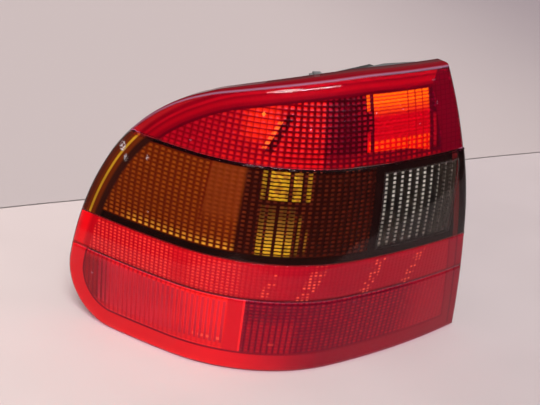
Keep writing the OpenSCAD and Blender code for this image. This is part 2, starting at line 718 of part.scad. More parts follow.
place() lens_upper_red();
place() lens_amber();
place() lens_reverse();
place() lens_lower_red();
place() reflex_panel();
place() housing();
place() reflector_upper();
place() reflector_indicator();
place() reflector_reverse();
place() reflector_fog();
place() carrier_seal();
place() bulb_carrier();
place() body_seal();
place() mounting_studs();
place() ground_strip();
place() stop_strip();
place() tail_strip();
place() indicator_strip();
place() reverse_strip();
place() fog_strip();
place() stop_sleeve();
place() tail_sleeve();
place() indicator_sleeve();
place() reverse_sleeve();
place() fog_sleeve();
place() stop_bulb_cap();
place() tail_bulb_cap();
place() indicator_bulb_cap();
place() reverse_bulb_cap();
place() fog_bulb_cap();
place() stop_bulb_glass();
place() tail_bulb_glass();
place() indicator_bulb_glass();
place() reverse_bulb_glass();
place() fog_bulb_glass();
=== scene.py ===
import math
import bmesh
import bpy
import numpy as np
from mathutils import Matrix, Vector


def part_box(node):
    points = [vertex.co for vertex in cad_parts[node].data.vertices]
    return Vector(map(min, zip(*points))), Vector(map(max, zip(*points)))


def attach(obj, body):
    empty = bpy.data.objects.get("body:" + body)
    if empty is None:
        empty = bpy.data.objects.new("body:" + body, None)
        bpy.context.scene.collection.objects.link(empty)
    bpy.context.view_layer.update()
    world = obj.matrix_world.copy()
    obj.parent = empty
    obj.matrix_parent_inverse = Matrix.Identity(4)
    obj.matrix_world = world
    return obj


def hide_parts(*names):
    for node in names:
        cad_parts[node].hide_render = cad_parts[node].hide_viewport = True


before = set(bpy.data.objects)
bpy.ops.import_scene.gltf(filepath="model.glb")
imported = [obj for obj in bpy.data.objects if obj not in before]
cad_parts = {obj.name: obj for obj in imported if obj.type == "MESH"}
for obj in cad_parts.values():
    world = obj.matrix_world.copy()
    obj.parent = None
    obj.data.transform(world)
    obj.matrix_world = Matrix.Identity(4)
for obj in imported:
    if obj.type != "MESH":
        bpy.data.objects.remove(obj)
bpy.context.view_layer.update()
MM = 0.001

# Camera at the photograph's angle, rolled by 8 degrees
AZ, EL, ROLL = math.radians(-49.91), math.radians(24.01), math.radians(8)
CAM_AT = Vector((-0.616704, -0.506210, 0.451961))
FOCAL, SENSOR = 79.96, 36
back = Vector((math.sin(AZ) * math.cos(EL), -math.cos(AZ) * math.cos(EL), math.sin(EL)))
side = Vector((math.cos(AZ), math.sin(AZ), 0))
high = back.cross(side)
side_r = side * math.cos(ROLL) + high * math.sin(ROLL)
high_r = high * math.cos(ROLL) - side * math.sin(ROLL)
cam_data = bpy.data.cameras.new("camera")
cam_data.sensor_fit = "HORIZONTAL"
cam_data.sensor_width = SENSOR
cam_data.lens = FOCAL
cam = bpy.data.objects.new("camera", cam_data)
bpy.context.scene.collection.objects.link(cam)
cam.matrix_world = Matrix.Translation(CAM_AT) @ Matrix((side_r, high_r, back)).transposed().to_4x4()
bpy.context.scene.camera = cam
bpy.context.scene.view_settings.view_transform = "Standard"

# The outline of the lens, in mm: s runs along the lens, z up and depth inwards.
# The straight bottom is BOTTOM_RUN long, and four arcs lead on from it round the outboard end and along the top.
SHIFT = np.array([89.3, -95.7])
EDGE_S, LEAN, BOTTOM, BOTTOM_RUN = -29.3, 0.22, -4.4, 312.1
TURNS = np.array([0, 99.2, 117.1, 165.5, 180.0])
RADII = np.array([41.9, 295.6, 121.5, 533.5])
# The line that the fields of the optics are laid out from, made in the same way
FIELD_S, FIELD_BOTTOM, FIELD_RUN = -22.0, 0.0, 305.0
FIELD_TURNS = np.array([0, 98.8, 116.0, 166.4, 180.0])
FIELD_RADII = np.array([38.0, 295.0, 136.5, 478.0])
# The joints between the colours, the groove, and the thicknesses of the mouldings
JOINT_HIGH, JOINT_LOW, GROOVE, GROOVE_D = 152.4, 84.0, 54.8, 1.3
SET_BACK, WALL, EDGE_R, JOINT_R, RIM, RIB_D, RIB = 0.9, 2.6, 5.5, 0.7, 14.0, 6.0, 1.4
# The reversing window: its two ends along s, then its lower and upper edge
WINDOW = (12.0, 86.0, 90.0, 146.5)
# The curve seen from above: rear face, bend and wing, with the radius and length of each
R_REAR, L_REAR, R_BEND, L_BEND, R_SIDE = 555.0, 105.0, 123.5, 128.0, 630.0
# The curve seen from the end: upright at one height, and leaning back above and below it
UPRIGHT_Z, R_ABOVE, R_BELOW = 98.0, 291.0, 976.0
LAST_TURN = 179.999
EDGE_POINTS = 700


def along(h):
    return np.array([math.sin(math.radians(h)), -math.cos(math.radians(h))])


def centres_of(s, low, radii, turns):
    out = [np.array([s, low + radii[0]])]
    for i in range(3):
        out.append(out[i] + (radii[i] - radii[i + 1]) * along(turns[i + 1]))
    return out


CENTRES = centres_of(EDGE_S + BOTTOM_RUN, BOTTOM, RADII, TURNS)
FIELD_CENTRES = centres_of(FIELD_S + FIELD_RUN, FIELD_BOTTOM, FIELD_RADII, FIELD_TURNS)
TOP_Z = CENTRES[3][1] + RADII[3]


def arc_of(h, turns):
    """Which of the four arcs a heading lies on."""
    return int(min(3, np.searchsorted(turns[1:], min(h, LAST_TURN), side="right")))


def outline(h, d):
    """The point of the outline at a heading, moved in by d."""
    i = arc_of(h, TURNS)
    return CENTRES[i] + (RADII[i] - d) * along(h)


def heading_at(z, d):
    """The heading of the outline at a height, moved in by d, and the number of its arc."""
    for i in range(4):
        end = CENTRES[i][1] - (RADII[i] - d) * math.cos(math.radians(TURNS[i + 1]))
        if z < end or i == 3:
            c = min(1, max(-1, (CENTRES[i][1] - z) / (RADII[i] - d)))
            return math.degrees(math.acos(c)), i


def outboard(z, d):
    h, i = heading_at(z, d)
    return CENTRES[i][0] + (RADII[i] - d) * math.sin(math.radians(h))


def inboard(z, d):
    return EDGE_S + LEAN * z + d * math.sqrt(1 + LEAN * LEAN)


H0 = math.radians(3.4)
H1 = H0 + L_REAR / R_REAR
H2 = H1 + L_BEND / R_BEND


def heading(s):
    s = np.asarray(s, float)
    return np.where(s < L_REAR, H0 + s / R_REAR,
                    np.where(s < L_REAR + L_BEND, H1 + (s - L_REAR) / R_BEND,
                             H2 + (s - L_REAR - L_BEND) / R_SIDE))


def arc_step(p, r, a, b):
    return p[0] - r * (np.sin(b) - np.sin(a)), p[1] - r * (np.cos(b) - np.cos(a))


BEND_P = arc_step((0.0, 0.0), R_REAR, H0, H1)
SIDE_P = arc_step(BEND_P, R_BEND, H1, H2)


def skin(s, z, depth):
    """Points on the lens curve, in metres, in the row frame."""
    s, z, depth = (np.asarray(a, float) for a in (s, z, depth))
    h = heading(s)
    rear = arc_step((0.0, 0.0), R_REAR, H0, h)
    bend = arc_step(BEND_P, R_BEND, H1, h)
    wing = arc_step(SIDE_P, R_SIDE, H2, h)
    x, y = (np.where(s < L_REAR, rear[k], np.where(s < L_REAR + L_BEND, bend[k], wing[k])) for k in (0, 1))
    r = np.where(z > UPRIGHT_Z, R_ABOVE, R_BELOW)
    reach = r - np.sqrt(r * r - (z - UPRIGHT_Z) ** 2) + depth
    return np.stack([x + np.sin(h) * reach + SHIFT[0], y + np.cos(h) * reach + SHIFT[1], z - BOTTOM], -1) * MM


def edge_line(centres, radii, turns):
    """Points on an outline, each with the direction that looks out of it."""
    out = []
    for h in np.linspace(0, 180, EDGE_POINTS):
        i = arc_of(h, turns)
        out.append((centres[i] + radii[i] * along(h), along(h)))
    return out


OUTER = (edge_line(CENTRES, RADII, TURNS), EDGE_S)
FIELD = (edge_line(FIELD_CENTRES, FIELD_RADII, FIELD_TURNS), FIELD_S)


def inset_of(s, z, line):
    """Distance in mm inwards from a line, for arrays of s and z."""
    points, left = line
    s, z = np.asarray(s, float).ravel(), np.asarray(z, float).ravel()
    near = np.full(len(s), 1e9)
    inset = np.zeros(len(s))
    for p, out in points:
        far = (s - p[0]) ** 2 + (z - p[1]) ** 2
        closer = far < near
        near = np.where(closer, far, near)
        inset = np.where(closer, (p[0] - s) * out[0] + (p[1] - z) * out[1], inset)
    low, top = points[0][0][1], points[-1][0][1]
    inner = (s - (left + LEAN * z)) / math.sqrt(1 + LEAN * LEAN)
    return np.minimum(np.minimum(inset, inner), np.minimum(z - low, top - z))


def make(name, verts, faces, mat, uv=None, uv2=None, smooth=True):
    """A mesh object from numpy arrays. uv and uv2 hold two numbers for each vertex."""
    mesh = bpy.data.meshes.new(name)
    mesh.from_pydata([tuple(v) for v in verts], [], [tuple(int(i) for i in f) for f in faces])
    for label, values in (("place", uv), ("rim", uv2)):
        if values is None:
            continue
        layer = mesh.uv_layers.new(name=label)
        loops = np.zeros(len(mesh.loops), np.int32)
        mesh.loops.foreach_get("vertex_index", loops)
        layer.data.foreach_set("uv", np.asarray(values, np.float32)[loops].ravel())
    mesh.materials.append(mat)
    mesh.polygons.foreach_set("use_smooth", np.full(len(mesh.polygons), smooth))
    mesh.update()
    obj = bpy.data.objects.new(name, mesh)
    bpy.context.scene.collection.objects.link(obj)
    return obj


FACES_ASKED = 4000
UV_MM = 100


def turn(faces, s, z, outwards):
    """The faces, turned over if most of those asked look the other way: out of the lamp or into it."""
    pts = skin(s, z, np.zeros(len(s)))
    total = 0.0
    for f in faces[:FACES_ASKED]:
        n = np.cross(pts[f[1]] - pts[f[0]], pts[f[-1]] - pts[f[0]])
        h = float(heading(s[f[0]]))
        total += -(n[0] * math.sin(h) + n[1] * math.cos(h))
    return faces if (total > 0) == outwards else [f[::-1] for f in faces]


def lens_piece(name, points, faces, outwards, mat, line):
    """A mesh from points of s, depth and z. Its UV layers keep s, z, the inset from a line and the depth."""
    s, depth, z = points[:, 0], points[:, 1], points[:, 2]
    return make(name, skin(s, z, depth), turn(faces, s, z, outwards), mat,
                np.stack([s, z], -1) / UV_MM, np.stack([inset_of(s, z, line), depth], -1) / UV_MM)


def as_bmesh(points, faces):
    """A bmesh of the points and faces, without any face that comes twice or names a point twice."""
    bm = bmesh.new()
    verts = [bm.verts.new(p) for p in points]
    for f in faces:
        try:
            bm.faces.new([verts[i] for i in f])
        except ValueError:
            pass
    return bm


def points_and_faces(bm):
    """What a bmesh holds, as an array of points and a list of faces. The bmesh is freed."""
    for i, v in enumerate(bm.verts):
        v.index = i
    points = np.array([v.co for v in bm.verts])
    faces = [[v.index for v in f.verts] for f in bm.faces]
    bm.free()
    return points, faces


# Node helpers. A Val adds Math nodes as it is worked with
class Val:
    def __init__(self, tree, out):
        self.tree, self.out = tree, out

    def op(self, kind, other=None):
        n = self.tree.nodes.new("ShaderNodeMath")
        n.operation = kind
        self.tree.links.new(self.out, n.inputs[0])
        if isinstance(other, Val):
            self.tree.links.new(other.out, n.inputs[1])
        elif other is not None:
            n.inputs[1].default_value = other
        return Val(self.tree, n.outputs[0])

    def __add__(self, o): return self.op("ADD", o)
    def __sub__(self, o): return self.op("SUBTRACT", o)
    def __mul__(self, o): return self.op("MULTIPLY", o)
    def __truediv__(self, o): return self.op("DIVIDE", o)
    __radd__, __rmul__ = __add__, __mul__
    def __rsub__(self, o): return (self * -1.0) + o
    def frac(self): return self.op("FRACT")
    def floor(self): return self.op("FLOOR")
    def abs(self): return self.op("ABSOLUTE")
    def min(self, o): return self.op("MINIMUM", o)
    def max(self, o): return self.op("MAXIMUM", o)

    def ridge(self):
        """0 halfway between whole numbers and 1 at each of them."""
        return (self.frac() - 0.5).abs() * 2.0

    def step(self, a, b):
        """0 below a, 1 above b, smooth between them."""
        n = self.tree.nodes.new("ShaderNodeMapRange")
        n.interpolation_type = "SMOOTHSTEP"
        self.tree.links.new(self.out, n.inputs["Value"])
        n.inputs["From Min"].default_value, n.inputs["From Max"].default_value = a, b
        return Val(self.tree, n.outputs[0])

    def fall(self, a, b):
        """1 below a, 0 above b."""
        return 1.0 - self.step(a, b)

    def band(self, a, b, soft):
        """1 from a to b, 0 outside, with soft edges."""
        return self.step(a - soft, a + soft) * self.fall(b - soft, b + soft)


def material(name):
    m = bpy.data.materials.new(name)
    m.use_nodes = True
    tree = m.node_tree
    return m, tree, tree.nodes["Principled BSDF"]


def split(tree, socket):
    """The first two parts of a vector."""
    n = tree.nodes.new("ShaderNodeSeparateXYZ")
    tree.links.new(socket, n.inputs[0])
    return Val(tree, n.outputs[0]), Val(tree, n.outputs[1])


def place(tree):
    """s, z, inset and depth in mm from the two UV layers."""
    out = []
    for label in ("place", "rim"):
        n = tree.nodes.new("ShaderNodeUVMap")
        n.uv_map = label
        out += [part * float(UV_MM) for part in split(tree, n.outputs[0])]
    return out


def ray(tree, kind):
    """1 for one kind of ray, 0 for the others."""
    return Val(tree, tree.nodes.new("ShaderNodeLightPath").outputs[kind])


def noise(tree, scale, detail=2.0, rough=0.5, stretch=None):
    n = tree.nodes.new("ShaderNodeTexNoise")
    n.inputs["Scale"].default_value = scale
    n.inputs["Detail"].default_value = detail
    n.inputs["Roughness"].default_value = rough
    at = tree.nodes.new("ShaderNodeTexCoord").outputs["Object"]
    if stretch:
        m = tree.nodes.new("ShaderNodeMapping")
        m.inputs["Scale"].default_value = stretch
        tree.links.new(at, m.inputs["Vector"])
        at = m.outputs[0]
    tree.links.new(at, n.inputs["Vector"])
    return Val(tree, n.outputs["Fac"])


def speckle(x, y, seed):
    """A number from 0 to 1 for each whole x and y."""
    tree = x.tree
    point = tree.nodes.new("ShaderNodeCombineXYZ")
    tree.links.new(x.out, point.inputs[0])
    tree.links.new(y.out, point.inputs[1])
    point.inputs[2].default_value = seed
    n = tree.nodes.new("ShaderNodeTexWhiteNoise")
    n.noise_dimensions = "3D"
    tree.links.new(point.outputs[0], n.inputs["Vector"])
    return Val(tree, n.outputs["Value"])


def mix(fac, a, b):
    """Colour a where fac is 0 and b where it is 1."""
    n = fac.tree.nodes.new("ShaderNodeMix")
    n.data_type = "RGBA"
    fac.tree.links.new(fac.out, n.inputs[0])
    for k, v in ((6, a), (7, b)):
        if isinstance(v, tuple):
            n.inputs[k].default_value = (*v, 1)
        else:
            fac.tree.links.new(v, n.inputs[k])
    return n.outputs[2]


def wire(bsdf, label, value):
    """Links a value or a colour to one of a shader's inputs."""
    out = value.out if isinstance(value, Val) else value
    bsdf.id_data.links.new(out, bsdf.inputs[label])


def bump(bsdf, height, distance, strength=1.0):
    tree = height.tree
    n = tree.nodes.new("ShaderNodeBump")
    n.inputs["Distance"].default_value = distance
    n.inputs["Strength"].default_value = strength
    tree.links.new(height.out, n.inputs["Height"])
    wire(bsdf, "Normal", n.outputs[0])


def blend(fac, bsdf, other):
    """The surface is bsdf where fac is 0 and the other shader where it is 1."""
    tree = fac.tree
    n = tree.nodes.new("ShaderNodeMixShader")
    for k, out in enumerate((fac.out, bsdf.outputs[0], other.outputs[0])):
        tree.links.new(out, n.inputs[k])
    tree.links.new(n.outputs[0], tree.nodes["Material Output"].inputs["Surface"])


def pass_light(tree, bsdf, shade=(1, 1, 1)):
    """Light passes on its way to what lies behind, tinted by the shade."""
    clear = tree.nodes.new("ShaderNodeBsdfTransparent")
    clear.inputs[0].default_value = (*shade, 1)
    blend(ray(tree, "Is Shadow Ray"), bsdf, clear)


UPPER_LEVEL, LOWER_LEVEL, BRIGHTEST = 0.78, 1.32, 0.98


def tone(r, g, b, level=1.0):
    """An sRGB colour of 0 to 255 as the linear one that nodes use, times a level."""
    out = []
    for v in (r, g, b):
        c = v / 255
        c = c / 12.92 if c < 0.04045 else ((c + 0.055) / 1.055) ** 2.4
        out.append(min(BRIGHTEST, c * level))
    return tuple(out)


def deep(r, g, b):
    """A colour of the upper section."""
    return tone(r, g, b, UPPER_LEVEL)


def warm(r, g, b):
    """A colour of the lower section."""
    return tone(r, g, b, LOWER_LEVEL)


# Clear glossy outer skin of the lens, with fine scratches and a few scuffs.
# Each scuff has its place along s and z, its half width and half height in mm, and how strong it is.
SCUFFS = [(283, 141, 3.2, 4.2, 0.85), (279, 134, 2.0, 3.0, 0.6), (262, 139, 1.4, 2.6, 0.5),
          (94, 186.5, 0.9, 0.8, 0.9), (122, 183, 0.7, 0.5, 0.8), (54, 176, 1.6, 0.5, 0.7),
          (70, 187, 1.4, 0.4, 0.5), (36, 188, 0.5, 1.4, 0.6), (20, 158, 0.6, 0.9, 0.7),
          (256, 102, 0.8, 0.6, 0.8), (148, 178, 0.7, 0.6, 0.8), (219, 163, 1.2, 0.4, 0.6),
          (233, 159, 1.0, 0.5, 0.6), (300, 38, 1.6, 1.0, 0.4), (96, 51, 1.8, 0.5, 0.4),
          (38, 203, 2.0, 0.7, 0.4)]
SCUFF_GREY = (0.62, 0.64, 0.78)
LENS_IOR, OPTIC_GLOSS, OPTIC_ROUGH = 1.3, 0.15, 0.16


def skin_material(name, tint, shade, thick, gloss):
    """tint colours what is behind the skin, shade colours light on its way in, and thick is the rim's colour."""
    m, tree, bsdf = material(name)
    s, z, inset, depth = place(tree)
    bsdf.inputs["Specular IOR Level"].default_value = gloss
    bsdf.inputs["IOR"].default_value = LENS_IOR
    marks = None
    for at_s, at_z, half_w, half_h, strength in SCUFFS:
        x = (s - at_s) / half_w
        y = (z - at_z) / half_h
        one = (x * x + y * y).fall(0.2, 1.1) * strength
        marks = one if marks is None else marks.max(one)
    marks = marks * noise(tree, 900.0, 3.0, 0.7).step(0.42, 0.62)
    # seen edge on, at the rim and along the joints, the plastic is thick and deep in colour
    joint = depth.step(1.25, 1.6) * inset.step(6.5, 7.0)
    edge = depth.step(2.4, 4.6).max(inset.fall(0.5, 2.2)).max(joint)
    col = mix(edge, mix(marks, tint, SCUFF_GREY), thick)
    wire(bsdf, "Base Color", col)
    wire(bsdf, "Transmission Weight", 1.0 - (marks * 0.75).max(edge * 0.93))
    wire(bsdf, "Roughness", noise(tree, 35.0, 3.0) * 0.018 + marks * 0.4 + 0.016)
    scratch = noise(tree, 160.0, 2.0, 0.5, stretch=(0.25, 0.25, 6.0)) * 0.35 + noise(tree, 14.0, 1.0)
    bump(bsdf, scratch, 0.00004)
    pass_light(tree, bsdf, shade)
    return m


def optic_material(name, paint, through, shade):
    """The optics on the inner side of the lens. paint(s, z, inset) gives the colour, with painted reflections and
    glints of light in it.
    """
    m, tree, bsdf = material(name)
    s, z, inset, _ = place(tree)
    wire(bsdf, "Base Color", paint(s, z, inset))
    bsdf.inputs["Transmission Weight"].default_value = through
    bsdf.inputs["IOR"].default_value = LENS_IOR
    bsdf.inputs["Specular IOR Level"].default_value = OPTIC_GLOSS
    wire(bsdf, "Roughness", noise(tree, 420.0, 2.0) * 0.10 + OPTIC_ROUGH)
    bump(bsdf, noise(tree, 700.0, 2.0), 0.00005)
    pass_light(tree, bsdf, shade)
    return m


# The pillows of each field: pitch along s, pitch along z, and how far they bulge, in mm
P_RED, Q_RED, H_RED = 5.0, 3.3, 0.75
P_AMB, Q_AMB, H_AMB = 5.0, 3.1, 0.7
P_WIN, Q_WIN, H_WIN, WIN_START = 7.2, 3.1, 1.0, -14.2
P_STRIP, Q_STRIP, H_STRIP = 3.6, 2.4, 0.45
P_FOG, Q_FOG, H_FOG = 4.4, 2.6, 0.5
P_REFLEX, H_REFLEX = 3.9, 0.4
# The divider of the lower section, where the fog field ends and where the reflex panel starts
FOG_END, REFLEX_START = 178.0, 190.0


def cells(s, z, p, q, start=0.0):
    """How far a point is from the middle of its pillow, across and up, from 0 to 1, and the pillow's number."""
    u = (s + start) / p
    v = z / q
    return u.ridge(), v.ridge(), u.floor(), v.floor()


def dot(cu, cv, a, b):
    """1 in the middle of a pillow, falling to 0 from a to b of the way to its edge."""
    return cu.fall(a, b) * cv.fall(a, b)


def from_side(s, z):
    """How far a point is along s from the leaning inboard end of the fields."""
    return s - (z * LEAN + FIELD_S)


# The upper section: where its fields change along s, the line of the bowl's edge, and the colours of the painted
# reflections and glints in it
LEFT_FIELD, DARK_COLUMNS, RIGHT_FIELD = (163, 168), (134, 138), (41.2, 42.2)
BOWL_S, BOWL_Z, BOWL_SLOPE = 171.0, 179.0, 0.57
PATCH_FROM, PATCH_TO, PATCH_LOW, PATCH_MIDDLE = 42.0, 100.5, 160.0, 66.0
RIM_END = (16.0, 17.2)
BAR_PITCH, ROWS_IN_MM = 7.0, 0.45
LEAN_COS = 0.977
ORANGE_CHAIN, ORANGE_SPARK = (0.98, 0.24, 0.02), (0.98, 0.30, 0.02)
ORANGE_ROW, ORANGE_GAP, ORANGE_GLINT = (0.98, 0.20, 0.002), (0.50, 0.012, 0.006), (0.98, 0.13, 0.003)


def paint_upper(s, z, inset):
    cu, cv, iu, iv = cells(s, z, P_RED, Q_RED)
    rnd = speckle(iu, iv, 1.0)
    d = dot(cu, cv, 0.25, 0.8)
    # painted glints: a bright dot in the middle of each pillow, stronger or weaker at random
    glints = d * (rnd * 0.5 + 0.6)
    grid = cu.max(cv).step(0.72, 0.98)
    # plain rim band, with a darker line where the optics begin and a lighter streak along it
    rim = mix(inset.band(9.5, 12.5, 1.2), deep(138, 4, 24), deep(172, 8, 26))
    rim = mix(inset.band(14.6, 17.0, 0.7), rim, deep(102, 2, 22))
    rim = mix(inset.band(6.4, 8.2, 0.6), rim, deep(180, 14, 30))
    rim = mix(inset.fall(2.0, 5.0), rim, deep(176, 34, 36))
    # plain field to the left: valleys and dots, with a painted reflection making them brighter near the bowl's edge
    low = mix(s.step(170, 210), deep(150, 3, 22), deep(158, 6, 26))
    top = mix(s.step(185, 245), deep(236, 40, 24), deep(196, 20, 34))
    left = mix(glints, low, top)
    near = s.band(172, 196, 6) * z.band(168, 192, 5)
    left = mix(near * (cv.step(0.9, 0.5) * 0.6 + 0.2), left, deep(250, 52, 20))
    # painted reflection of light in the bowl: a bright red field in front of the stop bulb
    centre = mix(glints, deep(120, 1, 14), deep(246, 34, 22))
    below = z.fall(158, 168) * cv.fall(0.35, 0.7)
    centre = mix(below * 0.6, centre, deep(206, 16, 24))
    out = mix(s.step(*LEFT_FIELD), centre, left)
    # dark band beside the edge of the bowl, and the chain of orange dots on it as painted glints, then one painted
    # glint as a spark
    bowl = s - BOWL_S - (BOWL_Z - z) * BOWL_SLOPE
    dark = bowl.band(-8.0, -1.5, 1.0) * z.band(160, 186, 3)
    out = mix(dark * (0.45 + 0.55 * (1.0 - d)), out, deep(58, 0, 10))
    chain = bowl.band(-1.6, 1.6, 0.7) * z.band(163, 181, 1) * cv.fall(0.3, 0.75)
    out = mix(chain, out, ORANGE_CHAIN)
    spark = ((s - 183.5).abs() / 2.2 + (z - 184.0).abs() / 2.0).step(1.0, 0.6)
    out = mix(spark, out, ORANGE_SPARK)
    # dark columns with small painted glints
    cols = mix(glints * (s - 117.0).abs().step(2.0, 20.0), deep(60, 1, 13), deep(190, 16, 30))
    cols = mix(d * 0.45, cols, deep(140, 6, 30))
    out = mix(s.fall(*DARK_COLUMNS), out, cols)
    # painted reflection of light in the bowl, as a bright orange patch: rows at the top, red in the middle, orange
    # again at the bottom
    rows = (z * ROWS_IN_MM).ridge()
    upper = mix(rows.step(0.35, 0.8) * 0.85, ORANGE_ROW, ORANGE_GAP)
    middle = mix(rows.step(0.2, 0.8) * 0.6, deep(205, 6, 24), deep(168, 4, 22))
    lower = mix(glints, deep(226, 14, 14), ORANGE_GLINT)
    patch = mix(z.step(182, 193), middle, upper)
    patch = mix(z.fall(165.5, 169.5), patch, lower)
    bars = ((s - PATCH_FROM) / BAR_PITCH).ridge()
    gaps = bars.step(0.72, 0.86) * s.fall(63, 65)
    patch = mix(gaps * 0.75, patch, deep(172, 4, 18))
    patch = mix((s - 96.0).band(-1.5, 1.5, 0.5), patch, deep(84, 0, 18))
    low_edge = z - PATCH_LOW + (PATCH_MIDDLE - s).max(0.0) * 0.16 - (s - PATCH_MIDDLE).max(0.0) * 0.02
    in_patch = s.band(PATCH_FROM, PATCH_TO, 0.35) * low_edge.step(-0.8, 0.6)
    in_patch = in_patch * (1.0 - s.step(93, 97) * z.band(174, 187, 1))
    out = mix(in_patch, out, patch)
    # plain field at the right, with one upright painted highlight in it
    light = (s - 37.0).band(-1.4, 1.4, 0.6) * z.band(158, 180, 2)
    right = mix(light * 0.8, deep(88, 3, 25), deep(176, 12, 30))
    right = mix(grid * 0.35, right, deep(112, 0, 16))
    out = mix(s.fall(*RIGHT_FIELD), out, right)
    # painted glints in the pillows under the patch
    under = mix(d * (rnd * 0.6 + 0.2), deep(98, 2, 20), deep(196, 20, 22))
    out = mix(1.0 - (low_edge + (s - 134.0).max(0.0) * 10.0).step(-0.8, 0.6), out, under)
    # the ribs of the grid everywhere
    out = mix(grid * 0.42 * (1.0 - in_patch), out, deep(84, 0, 14))
    out = mix(inset.step(*RIM_END), rim, out)
    # side of the field at the inboard end
    end = from_side(s, z)
    by_end = (1.0 - (end * LEAN_COS - inset).step(0.2, 1.5)) * end.fall(16.5, 17.5)
    out = mix(by_end, out, mix(grid * 0.4, deep(112, 3, 26), deep(70, 0, 16)))
    out = mix(inset.fall(2.0, 5.0) * end.step(4.0, 10.0), out, deep(178, 34, 36))
    return mix(end.fall(-5.5, -3.5), out, deep(52, 6, 18))


# The amber section: the seam between its wide and its plain part, its rows, and the colours of its painted
# reflections and glints
SEAM_S, SEAM_Z, SEAM_SLOPE = 215.0, 150.0, 0.07
YELLOW_PITCH, YELLOW_START = 2.55, 0.6
GOLD_GLINT = (0.86, 0.44, 0.04)
YELLOW_HIGH, YELLOW_DULL = (0.74, 0.47, 0.02), (0.42, 0.20, 0.02)
YELLOW_LOW, YELLOW_FADED, YELLOW_THIN = (0.84, 0.52, 0.03), (0.46, 0.24, 0.03), (0.62, 0.34, 0.03)
YELLOW_EDGE_LIGHT = (0.58, 0.34, 0.02)


def paint_amber(s, z, inset):
    cu, cv, iu, iv = cells(s, z, P_AMB, Q_AMB)
    rnd = speckle(iu, iv, 2.0)
    d = dot(cu, cv, 0.2, 0.8)
    grid = cu.max(cv).step(0.7, 0.98)
    # painted highlight low in the wide part: brighter dots, gold glints at the very bottom, and darker ribs between
    # them
    low_glare = z.fall(91, 108) * s.band(188, 300, 6)
    wide = mix(d * (0.55 + 0.5 * low_glare), tone(106, 36, 9), tone(168, 84, 20))
    wide = mix(d * z.fall(91, 99) * s.band(190, 275, 8), wide, GOLD_GLINT)
    wide = mix(grid * (0.25 + 0.55 * low_glare), wide, tone(74, 16, 6))
    plain = mix(d * 0.25, tone(120, 48, 16), tone(140, 62, 22))
    plain = mix(low_glare * grid * 0.7, plain, tone(70, 14, 6))
    seam = s - SEAM_S - (SEAM_Z - z) * SEAM_SLOPE
    out = mix(seam.step(-0.6, 0.6) * z.step(108, 118) + z.fall(108, 118), plain, wide)
    out = mix(seam.band(-0.9, 0.9, 0.6) * z.step(96, 112) * 0.75, out, tone(98, 24, 8))
    # dark part towards the middle of the lens, with small red-brown dots
    dark = mix(d * (rnd * 0.55 + 0.35), tone(44, 9, 7), tone(104, 40, 18))
    out = mix(1.0 - (s + (z - 120.0) * 0.05).step(189, 193), out, dark)
    inner = mix(d * (rnd * 0.5 + 0.25), tone(38, 8, 6), tone(96, 34, 14))
    out = mix(s.fall(139, 143), out, inner)
    # painted reflections of light in the bowl: yellow patches, cut into rows and columns: the upper one, the lower
    # one and thin columns beside it
    bars = 1.0 - ((z + YELLOW_START) / YELLOW_PITCH).ridge().step(0.45, 0.78)
    cols = s.band(159.5, 172.5, 0.5) + s.band(150.5, 156.3, 0.5) * 0.85
    cols = cols + s.band(143.5, 146.5, 0.6) * 0.55 + s.band(175.0, 178.0, 0.6) * 0.5
    first = z.band(130.0, 150.3, 1.0) * cols.min(1.0) * bars
    yellow = mix(noise(s.tree, 260.0, 1.0).step(0.4, 0.65), YELLOW_HIGH, YELLOW_DULL)
    out = mix(first * (rnd * 0.35 + 0.65), out, yellow)
    cols = s.band(159.0, 164.0, 0.5) + s.band(153.0, 157.3, 0.5) * 0.8
    cols = cols + s.band(166.5, 171.5, 0.5) + s.band(173.5, 177.0, 0.5) * 0.7
    fade = 1.0 - z.step(98, 126) * 0.85
    second = z.band(90.5, 126.0, 0.8) * cols.min(1.0) * bars * fade
    yellow = mix(z.step(94, 112), YELLOW_LOW, YELLOW_FADED)
    out = mix(second * (rnd * 0.3 + 0.7), out, yellow)
    thin = s.band(148.0, 150.0, 0.6) * bars * z.band(93, 118, 4)
    thin = thin + s.band(142.6, 144.2, 0.5) * bars * z.band(95, 108, 4)
    out = mix(thin * 0.35, out, YELLOW_THIN)
    # border of the joints, the divider beside the reversing window, and its frame
    border_z = (z.step(148.8, 149.8) + z.fall(89.2, 90.4)).min(1.0)
    out = mix(border_z, out, tone(30, 11, 10))
    # painted glints: tiny dots along the upper joint
    tiny = dot(cu, cv, 0.1, 0.5) * z.band(149.4, 151.2, 0.4) * rnd.step(0.4, 0.7) * s.band(60, 200, 4)
    out = mix(tiny, out, tone(150, 70, 30))
    out = mix(s.fall(92.0, 94.5), out, tone(26, 9, 9))
    end = from_side(s, z)
    out = mix(end.fall(7.5, 9.0), out, tone(84, 22, 24))
    out = mix(end.fall(2.0, 4.0), out, tone(22, 8, 9))
    # outboard rim: brown, a bright yellow line of painted light passing through the edge, then a dark border before
    # the optics
    band = mix(inset.step(8.0, 10.5), tone(112, 44, 14), tone(52, 22, 18))
    band = mix(inset.band(4.3, 5.9, 0.35), band, YELLOW_EDGE_LIGHT)
    band = mix(inset.fall(1.5, 3.2), band, tone(92, 38, 26))
    return mix(inset.fall(13.0, 15.5), out, mix(s.step(120, 130), out, band))


WINDOW_GLINT = (0.74, 0.68, 0.60)


